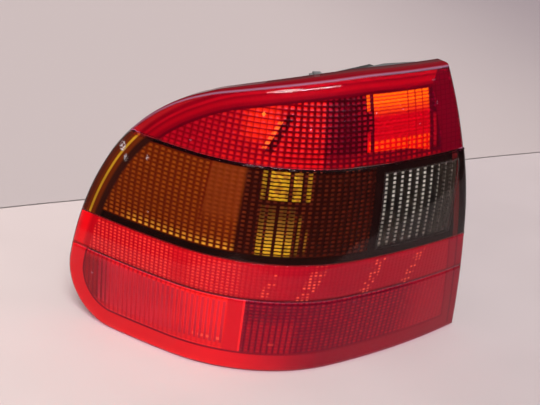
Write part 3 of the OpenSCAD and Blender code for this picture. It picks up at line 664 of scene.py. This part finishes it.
def paint_window(s, z, inset):
    cu, cv, iu, iv = cells(s, z, P_WIN, Q_WIN, WIN_START)
    rnd = speckle(iu, iv, 3.0)
    # painted glints: the dots are brighter higher up, and grow slimmer and fainter towards the inboard end
    slim = s.fall(26, 46)
    d = (1.0 - (cu + slim * 0.22).step(0.12, 0.46)) * cv.fall(0.35, 0.85)
    level = z.step(98, 138) * 0.65 + 0.35
    strength = d * level * (s.step(14, 50) * 0.75 + 0.25) * (rnd * 0.45 + 0.62)
    ground = mix(noise(s.tree, 60.0, 3.0).step(0.3, 0.7), tone(16, 9, 9), tone(50, 42, 36))
    ground = mix(s.fall(24, 40) * 0.5, ground, tone(66, 54, 48))
    out = mix(strength, ground, WINDOW_GLINT)
    out = mix(s.fall(12.5, 15.0) * 0.9, out, tone(70, 24, 26))
    border_all = s.step(83.5, 85.0) + z.fall(91.5, 92.5) + z.step(144.8, 146.0)
    return mix(border_all.min(1.0), out, tone(28, 16, 15))


# The lower section: the rows of the reflex panel, its row of dashes, and the colours of its painted glints
FINE_PITCH, DASH_PITCH = 1.75, 6.4
STREAK_Z, STREAK_SLOPE = 68.0, 0.45
STREAK_SPARK, ROW_SPARK = (0.98, 0.16, 0.06), (0.98, 0.15, 0.06)


def paint_lower(s, z, inset):
    # dotted strip between the joint and the groove: painted glints in its dots, painted shade on the rear face and
    # brighter on the wing, with slanting streaks of painted sparks
    cu, cv, iu, iv = cells(s, z, P_STRIP, Q_STRIP)
    rnd = speckle(iu, iv, 4.0)
    d = dot(cu, cv, 0.2, 0.8)
    base = mix(s.step(110, 240), warm(128, 17, 30), warm(178, 18, 26))
    dot_glare = mix(s.step(130, 230), warm(176, 32, 38), warm(240, 84, 56))
    quiet = 1.0 - s.band(184, 222, 5) * 0.75 - s.step(232, 240) * 0.95
    strip = mix(d * (1.0 - quiet * 0.78) * (rnd * 0.3 + 0.7), base, dot_glare)
    slope = s + (z - STREAK_Z) * STREAK_SLOPE
    streaks = slope.band(128, 139, 1.2) + slope.band(78, 87, 1.2) + slope.band(40, 48, 1.2)
    streaks = streaks + slope.band(160, 166, 1.0) * 0.8
    strip = mix(streaks.min(1.0) * d * rnd.step(0.25, 0.6), strip, STREAK_SPARK)
    strip = mix((s / P_STRIP).ridge().step(0.55, 1.0) * 0.3, strip, warm(128, 8, 26))
    # reflex panel: upright ribs crossed by fine rows, brightest beside the divider, with a row of dashes as painted
    # glints
    fine = (z / FINE_PITCH).ridge().step(0.4, 0.9)
    upright = (s / P_REFLEX).ridge().step(0.3, 0.95)
    reflex = mix(s.step(196, 262), warm(232, 40, 28), warm(206, 34, 34))
    reflex = mix(upright * (0.28 + 0.45 * s.step(205, 270)), reflex, warm(142, 16, 34))
    reflex = mix(fine * 0.40, reflex, warm(168, 22, 32))
    reflex = mix(z.fall(16, 30) * 0.4, reflex, warm(150, 18, 32))
    corner = s.step(283, 291) * z.band(16, 52, 5)
    reflex = mix(corner * 0.75, reflex, warm(92, 22, 26))
    dash = z.band(19.3, 21.4, 0.3) * (s / DASH_PITCH).ridge().step(0.75, 0.5) * s.band(193, 214, 1)
    reflex = mix(dash, reflex, ROW_SPARK)
    # darker grid in front of the fog bulb
    ru, rv, ju, jv = cells(s, z, P_FOG, Q_FOG)
    rn = speckle(ju, jv, 5.0)
    grid = mix(dot(ru, rv, 0.2, 0.85) * (rn * 0.4 + 0.3), warm(92, 8, 28), warm(176, 22, 34))
    grid = mix(s.step(60, 140) * 0.25, grid, warm(84, 6, 24))
    # painted highlights: bright upright bars low in the grid, and a row of painted sparks
    bright = s.band(140, 176, 3) * z.fall(34, 42) * ru.fall(0.4, 0.9)
    grid = mix(bright * 0.15, grid, warm(226, 30, 30))
    grid = mix(s.fall(20, 58) * 0.55, grid, warm(146, 20, 34))
    spark = z.band(19.0, 21.6, 0.4) * rn.step(0.55, 0.75) * s.band(146, 178, 2)
    grid = mix(spark, grid, ROW_SPARK)
    divide = mix((s - FOG_END - 1.0).band(-0.8, 0.9, 0.4), warm(178, 22, 30), warm(222, 44, 40))
    panel = mix(s.step(FOG_END, FOG_END + 1.0), grid, divide)
    panel = mix(s.step(REFLEX_START, REFLEX_START + 1.2), panel, reflex)
    out = mix(z.step(GROOVE + 0.3, GROOVE + 1.0), panel, strip)
    out = mix(z.band(GROOVE - 0.9, GROOVE + 0.8, 0.35), out, warm(100, 8, 26))
    # plain rim with a dark line inside it, in painted shade on the rear face and lighter on the wing
    rim = mix(s.step(110, 205), warm(118, 20, 32), warm(196, 28, 32))
    line = inset.step(10.5, 11.2) * inset.fall(12.2, 12.9)
    rim = mix(line, rim, warm(104, 10, 26))
    out = mix(inset.fall(12.0, 12.8), out, rim)
    wing = mix(inset.step(6.0, 10.0), warm(214, 16, 22), warm(170, 10, 22))
    out = mix(inset.fall(12.5, 14.0) * z.step(52, 58) * s.step(200, 210), out, wing)
    out = mix(from_side(s, z).fall(2.5, 4.5), out, warm(84, 10, 24))
    # painted shade: the edge is darker on the rear face too
    edge = mix(s.step(110, 205), warm(116, 20, 32), warm(200, 34, 34))
    return mix(inset.fall(1.0, 3.0), out, edge)


RED_TINT, RED_SHADE, RED_INSIDE = (0.96, 0.50, 0.80), (0.99, 0.80, 0.90), (0.35, 0.02, 0.02)
upper_red_skin = skin_material("red_acrylic_upper", RED_TINT, RED_SHADE, tone(132, 6, 24), 0.35)
lower_red_skin = skin_material("red_acrylic_lower", RED_TINT, RED_SHADE, tone(150, 30, 38), 0.2)
amber_skin = skin_material("amber_acrylic", (0.94, 0.82, 0.74), (0.97, 0.90, 0.86), tone(64, 26, 20), 0.5)
smoke_skin = skin_material("smoked_acrylic", (0.86, 0.85, 0.83), (0.93, 0.92, 0.91), tone(40, 26, 24), 0.5)
upper_optic = optic_material("red_optics_upper", paint_upper, 0.04, RED_INSIDE)
amber_optic = optic_material("amber_optics", paint_amber, 0.16, (0.30, 0.12, 0.04))
window_optic = optic_material("smoked_optics", paint_window, 0.35, (0.42, 0.40, 0.38))
lower_optic = optic_material("red_optics_lower", paint_lower, 0.04, RED_INSIDE)

# Skins: the outer face of each lens section with its rounded rim
SKIN_COLS, ROUND_STEPS = 150, 10
GROOVE_FLAT, GROOVE_HALF = 0.45, 1.1
WINDOW_COLS, WINDOW_ROWS, WINDOW_DIP, WINDOW_EDGE = 60, 40, 0.22, 0.9


def grid_faces(rows, cols):
    """The faces of a grid of points that are numbered row by row."""
    corners = [k * cols + c for k in range(rows - 1) for c in range(cols - 1)]
    return [(a, a + 1, a + cols + 1, a + cols) for a in corners]


def border(rows, cols):
    """The row and column of each point round the edge of such a grid, in order."""
    ring = [(k, 0) for k in range(rows)] + [(rows - 1, c) for c in range(1, cols)]
    return ring + [(k, cols - 1) for k in range(rows - 2, -1, -1)] + [(0, c) for c in range(cols - 2, 0, -1)]


def join_rings(before, after):
    """The faces between two rings of as many points."""
    n = len(before)
    return [(before[i], after[i], after[(i + 1) % n], before[(i + 1) % n]) for i in range(n)]


def row_lines(rows, d, dj):
    """Start, end and height of each row, moved in by d at the outline and dj at the joints.

    A row is ("h", heading) on the outline, or ("z", height). The last value says if it is an edge of the lens.
    """
    out = []
    for k, (kind, value) in enumerate(rows):
        edge = kind == "h" and value in (0, 180)
        shift = 0 if edge else dj if k == 0 else -dj if k == len(rows) - 1 else 0
        z = (outline(value, d)[1] if kind == "h" else value) + shift
        b = outline(value, d)[0] if kind == "h" else outboard(z, d)
        out.append((inboard(z, d), b, z, edge))
    return out


def groove_dip(kind, z):
    """How deep a row lies in the groove."""
    share = (GROOVE_HALF - abs(z - GROOVE)) / (GROOVE_HALF - GROOVE_FLAT)
    return GROOVE_D * min(1.0, max(0.0, share)) if kind == "z" else 0.0


def section_skin(name, rows, base, mat, groove=False, cut=None):
    """The outer face of a section, rounded at its edges, with its rim behind. cut is a window in it."""
    us = np.linspace(0, 1, SKIN_COLS)
    pts = []
    for (kind, value), (a, b, z, _) in zip(rows, row_lines(rows, EDGE_R, JOINT_R)):
        dip = groove_dip(kind, value) if groove else 0.0
        pts += [(a + (b - a) * u, base + dip, z) for u in us]
    faces = grid_faces(len(rows), SKIN_COLS)
    ring = border(len(rows), SKIN_COLS)
    previous = [k * SKIN_COLS + c for k, c in ring]
    # each step: how far in at the outline and at the joints, and how deep at the outline and at the joints
    steps = []
    for t in np.linspace(0, math.pi / 2, ROUND_STEPS)[1:]:
        inwards, down = 1 - math.sin(t), 1 - math.cos(t)
        steps.append((EDGE_R * inwards, JOINT_R * inwards, base + EDGE_R * down, base + JOINT_R * down))
    steps += [(0, 0, RIM * 0.6, (base + RIB_D) / 2), (0, 0, RIM, RIB_D), (WALL, RIB, RIM, RIB_D)]
    for d, dj, edge_depth, joint_depth in steps:
        lines = row_lines(rows, d, dj)
        current = list(range(len(pts), len(pts) + len(ring)))
        for k, c in ring:
            a, b, z, edge = lines[k]
            joint = k in (0, len(rows) - 1) and not edge and 0 < c < SKIN_COLS - 1
            pts.append((a + (b - a) * us[c], joint_depth if joint else edge_depth, z))
        faces += join_rings(previous, current)
        previous = current
    bm = as_bmesh(pts, faces)
    if cut:
        s0, s1, z0, z1 = cut
        planes = [((s, 0, 0), (1, 0, 0)) for s in (s0, s1)] + [((0, 0, z), (0, 0, 1)) for z in (z0, z1)]
        for co, no in planes:
            bmesh.ops.bisect_plane(bm, geom=bm.verts[:] + bm.edges[:] + bm.faces[:], plane_co=co, plane_no=no)
        inside = []
        for f in bm.faces:
            c = f.calc_center_median()
            if s0 < c.x < s1 and z0 < c.z < z1 and c.y < RIB_D:
                inside.append(f)
        bmesh.ops.delete(bm, geom=inside, context="FACES")
    bmesh.ops.recalc_face_normals(bm, faces=bm.faces[:])
    return lens_piece(name, *points_and_faces(bm), True, mat, OUTER)


def arc_rows(a, b, n):
    return [("h", float(h)) for h in np.linspace(a, b, n)]


# Rows are closer together on the shoulder's end above SHOULDER_H, and in the groove above the corner's CORNER_H
SHOULDER_H, CORNER_H = 166.4, 86
upper_rows = [("z", JOINT_HIGH)] + arc_rows(heading_at(JOINT_HIGH, 0)[0] + 1.2, SHOULDER_H, 26)
upper_rows += arc_rows(SHOULDER_H, 180, 30)[1:]
amber_rows = [("z", float(z)) for z in np.linspace(JOINT_LOW, JOINT_HIGH, 30)]
low_z = [40.5, 43, 46, 49, 51.5, 53.2]
low_z += [GROOVE - GROOVE_HALF, GROOVE - GROOVE_FLAT, GROOVE + GROOVE_FLAT, GROOVE + GROOVE_HALF]
low_z += [57, 59.5, *np.linspace(62, JOINT_LOW, 10)]
lower_rows = arc_rows(0, CORNER_H, 26) + [("z", float(z)) for z in low_z if z > outline(CORNER_H, 0)[1] + 0.3]

upper_skin = section_skin("lens_upper_skin", upper_rows, SET_BACK, upper_red_skin)
amber_skin_obj = section_skin("lens_amber_skin", amber_rows, 0.0, amber_skin, cut=WINDOW)
lower_skin = section_skin("lens_lower_skin", lower_rows, 0.0, lower_red_skin, groove=True)


def window_skin():
    """The face of the reversing window, softened at its edge, and its sides."""
    s0, s1, z0, z1 = WINDOW
    pts = []
    for z in np.linspace(z0, z1, WINDOW_ROWS):
        for s in np.linspace(s0, s1, WINDOW_COLS):
            edge = min(s - s0, s1 - s, z - z0, z1 - z)
            pts.append((s, WINDOW_DIP * max(0.0, 1 - edge / WINDOW_EDGE), z))
    ring = [k * WINDOW_COLS + c for k, c in border(WINDOW_ROWS, WINDOW_COLS)]
    behind = list(range(len(pts), len(pts) + len(ring)))
    pts += [(pts[i][0], RIB_D, pts[i][2]) for i in ring]
    faces = grid_faces(WINDOW_ROWS, WINDOW_COLS) + join_rings(ring, behind)
    return lens_piece("lens_reverse_skin", np.array(pts), faces, True, smoke_skin, OUTER)


reverse_skin = window_skin()


# Optics: pillows on the inner side, inside each field
def pillow(s, z, p, q, start=0.0):
    """How far a pillow bulges, from 0 at its edge to 1 in its middle."""
    u = ((s + start) / p) % 1.0 * 2 - 1
    v = (z / q) % 1.0 * 2 - 1
    return (1 - u * u) * (1 - v * v)


def ramp(x, a, b):
    t = np.clip((x - a) / (b - a), 0, 1)
    return t * t * (3 - 2 * t)


FIELD_MIDDLE = (130.0, 105.0)
NO_AREA, SAME_POINT = 1e-6, 0.001


def optics(name, z0, z1, ds, dz, relief, depth, mat, limits=None, skirt=(), hole=None):
    """A sheet behind the skin, with points ds and dz apart, that bulges inwards by relief(s, z, inset).

    limits are its ends along s, if not the rim. A wall goes back from each path of skirt, and hole is left open.
    """
    zs = np.append(np.arange(z0, z1, dz), z1)
    lo = np.array([limits[0] if limits else inboard(z, WALL) for z in zs])
    hi = np.array([limits[1] if limits else max(outboard(z, WALL), inboard(z, WALL) + 0.01) for z in zs])
    ss = np.arange(math.floor(lo.min() / ds) * ds, hi.max() + ds, ds)
    S = np.clip(ss[None, :], lo[:, None], hi[:, None])
    Z = np.repeat(zs[:, None], len(ss), 1)
    D = depth + relief(S, Z, inset_of(S, Z, FIELD).reshape(S.shape))
    number = np.arange(S.size).reshape(S.shape)
    live = (S[:-1, 1:] - S[:-1, :-1] > NO_AREA) | (S[1:, 1:] - S[1:, :-1] > NO_AREA)
    if hole:
        mid_s, mid_z = (S[:-1, 1:] + S[1:, :-1]) / 2, (Z[:-1, 1:] + Z[1:, :-1]) / 2
        live &= ~((mid_s > hole[0]) & (mid_s < hole[1]) & (mid_z > hole[2]) & (mid_z < hole[3]))
    faces = np.stack([number[:-1, :-1], number[1:, :-1], number[1:, 1:], number[:-1, 1:]], -1)[live].tolist()
    pts = np.stack([S.ravel(), D.ravel(), Z.ravel()], -1).tolist()
    for path in skirt:
        start = len(pts)
        for s, z in path:
            pts += [[s, depth, z], [s, RIM, z]]
        for i in range(len(path) - 1):
            a = start + 2 * i
            faces.append([a, a + 1, a + 3, a + 2])
    bm = as_bmesh(pts, faces)
    bmesh.ops.remove_doubles(bm, verts=bm.verts, dist=SAME_POINT)
    bm.normal_update()
    for f in bm.faces:
        n, c = f.normal, f.calc_center_median()
        inwards = n.x * (FIELD_MIDDLE[0] - c.x) + n.z * (FIELD_MIDDLE[1] - c.z)
        if (n.y if abs(n.y) > 0.3 else inwards) < 0:
            f.normal_flip()
    return lens_piece(name, *points_and_faces(bm), False, mat, FIELD)


def upper_relief(s, z, inset):
    field = ramp(inset, 16.2, 17.2) * ramp(from_side(s, z), 3.5, 5) * ramp(z, 153.6, 154.4)
    return field * H_RED * pillow(s, z, P_RED, Q_RED)


def amber_relief(s, z, inset):
    ends = np.where(s > 120, ramp(inset, 14, 15), 1.0) * ramp(s, 93, 94)
    return ends * ramp(z, 90, 91) * (1 - ramp(z, 149, 150)) * H_AMB * pillow(s, z, P_AMB, Q_AMB)


def window_relief(s, z, inset):
    return H_WIN * pillow(s, z, P_WIN, Q_WIN, WIN_START)


def lower_relief(s, z, inset):
    rim_in = ramp(inset, 12.6, 13.4)
    strip = ramp(z, GROOVE + 1.2, GROOVE + 2) * H_STRIP * pillow(s, z, P_STRIP, Q_STRIP)
    grid = (1 - ramp(s, FOG_END - 1, FOG_END)) * H_FOG * pillow(s, z, P_FOG, Q_FOG)
    ribs = 1 - (((s / P_REFLEX) % 1.0) * 2 - 1) ** 2
    reflex = ramp(s, REFLEX_START, REFLEX_START + 1.5) * H_REFLEX * ribs
    panel = (1 - ramp(z, GROOVE - 2, GROOVE - 1.2)) * (grid + reflex)
    off = np.abs(z - GROOVE)
    groove = np.where(off < 1.6, GROOVE_D * (1 - ramp(off, 0.7, 1.6)), 0)
    return rim_in * (strip + panel) + groove


def rim_path(h0, h1):
    return [tuple(outline(h, WALL)) for h in np.linspace(h0, h1, 60)]


def inner_path(z0, z1):
    return [(inboard(z, WALL), z) for z in np.linspace(z0, z1, 8)]


# The optics of a section end JOINT_GAP short of its joints, and those of the window WINDOW_GAP short of its edge
JOINT_GAP, WINDOW_GAP, FRAME, EDGE_GAP = 0.3, 0.2, 1.2, 0.02
w_s0, w_s1, w_z0, w_z1 = WINDOW
h_high, h_low = heading_at(JOINT_HIGH, WALL)[0], heading_at(JOINT_LOW, WALL)[0]
top_in, low_in = TOP_Z - WALL - EDGE_GAP, BOTTOM + WALL
low_path = [(s, low_in) for s in np.linspace(inboard(low_in, WALL), CENTRES[0][0], 60)]
upper_optics = optics(
    "lens_upper_optics", JOINT_HIGH + JOINT_GAP, top_in, 1.0, Q_RED / 4, upper_relief, SET_BACK + WALL, upper_optic,
    skirt=[rim_path(h_high, 179.9), inner_path(JOINT_HIGH, top_in)])
amber_optics = optics(
    "lens_amber_optics", JOINT_LOW + JOINT_GAP, JOINT_HIGH - JOINT_GAP, 1.0, Q_AMB / 4, amber_relief, WALL,
    amber_optic, skirt=[rim_path(h_low, h_high), inner_path(JOINT_LOW, JOINT_HIGH)],
    hole=(w_s0 + FRAME, w_s1 - FRAME, w_z0 + FRAME, w_z1 - FRAME))
window_optics = optics(
    "lens_reverse_optics", w_z0 + WINDOW_GAP, w_z1 - WINDOW_GAP, P_WIN / 7, Q_WIN / 4, window_relief, WALL - 0.35,
    window_optic, limits=(w_s0 + WINDOW_GAP, w_s1 - WINDOW_GAP))
lower_optics = optics(
    "lens_lower_optics", low_in + EDGE_GAP, JOINT_LOW - JOINT_GAP, 0.9, Q_STRIP / 4, lower_relief, WALL, lower_optic,
    skirt=[rim_path(0.1, h_low), inner_path(low_in, JOINT_LOW), low_path])

for face, inside, slot, node in ((upper_skin, upper_optics, "red_lens", "lens_upper_red"),
                                 (amber_skin_obj, amber_optics, "amber_lens", "lens_amber"),
                                 (reverse_skin, window_optics, "smoke_lens", "lens_reverse"),
                                 (lower_skin, lower_optics, "red_lens", "lens_lower_red")):
    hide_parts(node)
    for obj in (face, inside):
        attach(obj, "root")


# Materials of the other pieces
def plastic(name, dark, light, rough):
    """Moulded plastic with a fine grain and a faint cloudiness."""
    m, tree, bsdf = material(name)
    cloud = noise(tree, 18.0, 4.0)
    wire(bsdf, "Base Color", mix(cloud.step(0.3, 0.7), dark, light))
    wire(bsdf, "Roughness", noise(tree, 40.0, 3.0) * 0.16 + (rough - 0.08))
    bump(bsdf, noise(tree, 900.0, 3.0) + noise(tree, 30.0, 2.0) * 0.6, 0.00005)
    return m


def metal(name, dark, light, rough, spots=0.0):
    """Metal with duller clouds. spots is how much rougher they are."""
    m, tree, bsdf = material(name)
    bsdf.inputs["Metallic"].default_value = 1.0
    cloud = noise(tree, 70.0, 4.0, 0.6)
    wire(bsdf, "Base Color", mix(cloud.step(0.35, 0.7), light, dark))
    dull = noise(tree, 120.0, 3.0) * 0.18 + (rough - 0.09) + cloud.step(0.55, 0.8) * spots
    wire(bsdf, "Roughness", dull)
    bump(bsdf, noise(tree, 500.0, 3.0), 0.00003)
    return m


def foam():
    m, tree, bsdf = material("cell_foam")
    n = tree.nodes.new("ShaderNodeTexVoronoi")
    n.inputs["Scale"].default_value = 900.0
    tree.links.new(tree.nodes.new("ShaderNodeTexCoord").outputs["Object"], n.inputs["Vector"])
    pores = Val(tree, n.outputs["Distance"])
    col = mix(pores.step(0.1, 0.6), (0.008, 0.008, 0.009), (0.045, 0.044, 0.044))
    wire(bsdf, "Base Color", col)
    wire(bsdf, "Roughness", noise(tree, 60.0, 3.0) * 0.12 + 0.84)
    bump(bsdf, pores + noise(tree, 200.0, 3.0) * 0.4, 0.0003)
    return m


def bulb_glass():
    m, tree, bsdf = material("blown_glass")
    bsdf.inputs["Transmission Weight"].default_value = 1.0
    bsdf.inputs["IOR"].default_value = 1.5
    col = mix(noise(tree, 50.0, 2.0).step(0.3, 0.7), (0.97, 0.98, 0.98), (0.90, 0.93, 0.95))
    wire(bsdf, "Base Color", col)
    wire(bsdf, "Roughness", noise(tree, 80.0, 2.0) * 0.02)
    bump(bsdf, noise(tree, 60.0, 2.0), 0.00003)
    pass_light(tree, bsdf)
    return m


housing_mat = plastic("moulded_grey", (0.15, 0.15, 0.155), (0.21, 0.21, 0.215), 0.5)
carrier_mat = plastic("moulded_ivory", (0.60, 0.57, 0.50), (0.70, 0.68, 0.62), 0.42)
reflex_mat = plastic("reflex_optics", (0.40, 0.01, 0.02), (0.62, 0.02, 0.03), 0.2)
chrome_mat = metal("metallised", (0.80, 0.80, 0.81), (0.90, 0.90, 0.91), 0.12)
zinc_mat = metal("zinc_plate", (0.42, 0.43, 0.43), (0.64, 0.64, 0.62), 0.34, 0.1)
brass_mat = metal("brass_strip", (0.52, 0.37, 0.16), (0.76, 0.58, 0.28), 0.28, 0.12)
cap_mat = metal("plated_cap", (0.56, 0.50, 0.36), (0.76, 0.70, 0.54), 0.24, 0.1)
foam_mat, glass_mat = foam(), bulb_glass()
BY_NAME = {"housing": housing_mat, "bulb_carrier": carrier_mat, "carrier_seal": foam_mat, "body_seal": foam_mat,
           "mounting_studs": zinc_mat, "reflex_panel": reflex_mat}
BY_FIRST_WORD = {"reflector": chrome_mat}
BY_LAST_WORD = {"strip": brass_mat, "sleeve": zinc_mat, "cap": cap_mat, "glass": glass_mat}
for name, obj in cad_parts.items():
    words = name.split("_")
    mat = BY_NAME.get(name) or BY_FIRST_WORD.get(words[0]) or BY_LAST_WORD.get(words[-1])
    if mat:
        obj.data.materials.clear()
        obj.data.materials.append(mat)


# Filaments: a coil on two supports in each bulb, in metres
COIL_TURNS, COIL_STEPS, COIL_R, COIL_HALF, COIL_WIRE = 9, 12, 0.0007, 0.0045, 0.0001
SUPPORT_WIRE, SUPPORT_HALF, SUPPORT_REACH = 0.00028, 0.0018, 0.008


def tube(name, path, radius, mat):
    curve = bpy.data.curves.new(name, "CURVE")
    curve.dimensions = "3D"
    curve.bevel_depth = radius
    curve.bevel_resolution = 2
    spline = curve.splines.new("POLY")
    spline.points.add(len(path) - 1)
    for p, q in zip(spline.points, path):
        p.co = (*q, 1)
    curve.materials.append(mat)
    obj = bpy.data.objects.new(name, curve)
    bpy.context.scene.collection.objects.link(obj)
    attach(obj, "root")


tungsten = metal("tungsten_wire", (0.20, 0.20, 0.21), (0.34, 0.34, 0.35), 0.4)
for bulb in ("stop", "tail", "indicator", "reverse", "fog"):
    lo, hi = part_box(bulb + "_bulb_glass")
    mid = (lo + hi) / 2
    front = lo.y + (hi.x - lo.x) / 2
    for k, end in ((-1, "_support_a"), (1, "_support_b")):
        foot = mid.x + k * SUPPORT_HALF
        tube(bulb + end, [(foot, hi.y - 0.001, mid.z), (foot, front + SUPPORT_REACH, mid.z),
                          (mid.x + k * COIL_HALF, front, mid.z)], SUPPORT_WIRE, tungsten)
    steps = COIL_TURNS * COIL_STEPS
    coil = []
    for t in range(steps + 1):
        angle = t * 2 * math.pi / COIL_STEPS
        coil.append((mid.x - COIL_HALF + 2 * COIL_HALF * t / steps, front + COIL_R * math.cos(angle),
                     mid.z + COIL_R * math.sin(angle)))
    tube(bulb + "_filament", coil, COIL_WIRE, tungsten)

# Floor: pale in front and warm grey beyond a line behind the lamp. Each line is a point on it, in metres,
# and the direction that looks across it
FAR_LINE = (-0.055, 0.263, 0.30, 0.954)
NEAR_LINE = (-0.180, -0.155, 0.42, 0.907)
WING_LINE = -0.231
PALE, PALE_SHADED = (0.73, 0.61, 0.60), (0.57, 0.485, 0.495)
GREY, GREY_SHADED = (0.56, 0.475, 0.475), (0.35, 0.288, 0.31)
DARK_GLOSS = (0.03, 0.027, 0.026)
FLOOR_HALF = 6


def past(x, y, line):
    """How far a point of the floor is past a line."""
    return (x - line[0]) * line[2] + (y - line[1]) * line[3]


def floor():
    m, tree, bsdf = material("pale_cloth")
    x, y = split(tree, tree.nodes.new("ShaderNodeNewGeometry").outputs["Position"])
    wave = noise(tree, 5.0, 2.0) * 0.010
    beyond = (past(x, y, FAR_LINE) + wave - 0.005).step(-0.0012, 0.0012)
    # painted shade: the cloth and the grey both grow darker towards +x
    across = x * 0.72 - y * 0.30 + noise(tree, 3.0, 3.0) * 0.04
    cloth = mix(across.step(-0.13, 0.17), PALE, PALE_SHADED)
    grey = mix(across.step(0.27, 0.77), GREY, GREY_SHADED)
    wire(bsdf, "Base Color", mix(beyond, cloth, grey))
    bsdf.inputs["Roughness"].default_value = 0.9
    bsdf.inputs["Specular IOR Level"].default_value = 0.1
    folds = noise(tree, 6.0, 1.5, 0.45) * 5.0 + noise(tree, 1500.0, 2.0) * 0.02
    bump(bsdf, folds * (1.0 - beyond), 0.004, 0.7)
    # glossy reflections find a darker floor, and a dark one past its front edge and beside the wing
    in_front = 1.0 - past(x, y, NEAR_LINE).step(-0.004, 0.004)
    by_wing = 1.0 - (x - WING_LINE).step(-0.006, 0.006)
    dark = ray(tree, "Is Glossy Ray") * in_front.max(by_wing).max(0.3)
    night = tree.nodes.new("ShaderNodeEmission")
    night.inputs[0].default_value = (*DARK_GLOSS, 1)
    blend(dark, bsdf, night)
    f = FLOOR_HALF
    make("floor", [(-f, -f, 0), (f, -f, 0), (f, f, 0), (-f, f, 0)], [(0, 1, 2, 3)], m, smooth=False)


floor()

# Light: a plain surrounding level, one soft lamp from above the front, and a long lamp for the rim
LEVEL, BACKDROP = (0.40, 0.388, 0.384), (0.56, 0.48, 0.48)
GLOSS_BEHIND, GLOSS_AHEAD = (0.014, 0.013, 0.013), (0.10, 0.09, 0.09)
world = bpy.data.worlds.new("room")
bpy.context.scene.world = world
world.use_nodes = True
wt = world.node_tree
x, y = split(wt, wt.nodes.new("ShaderNodeTexCoord").outputs["Generated"])
gloss = mix((x * 0.765 + y * 0.644).step(-0.1, 0.35), GLOSS_BEHIND, GLOSS_AHEAD)
level = mix(ray(wt, "Is Glossy Ray"), LEVEL, gloss)
level = mix(ray(wt, "Is Camera Ray"), level, BACKDROP)
wt.links.new(level, wt.nodes["Background"].inputs[0])


def lamp(name, kind, at, aim, energy, **more):
    data = bpy.data.lights.new(name, kind)
    data.energy = energy
    for k, v in more.items():
        setattr(data, k, v)
    obj = bpy.data.objects.new(name, data)
    obj.location = at
    obj.rotation_mode = "QUATERNION"
    obj.rotation_quaternion = (Vector(aim) - Vector(at)).to_track_quat("-Z", "Y")
    bpy.context.scene.collection.objects.link(obj)
    return obj


lamp("key", "SUN", at=(-1.15, -1.15, 2.1), aim=(0, 0, 0), energy=2.85, angle=math.radians(24),
     color=(1.0, 0.985, 0.97))
strip = lamp("strip", "AREA", at=(-0.30, -0.95, 1.05), aim=(0, 0, 0.2), energy=15.0,
             shape="RECTANGLE", size=0.95, size_y=0.12)
strip.visible_diffuse = False
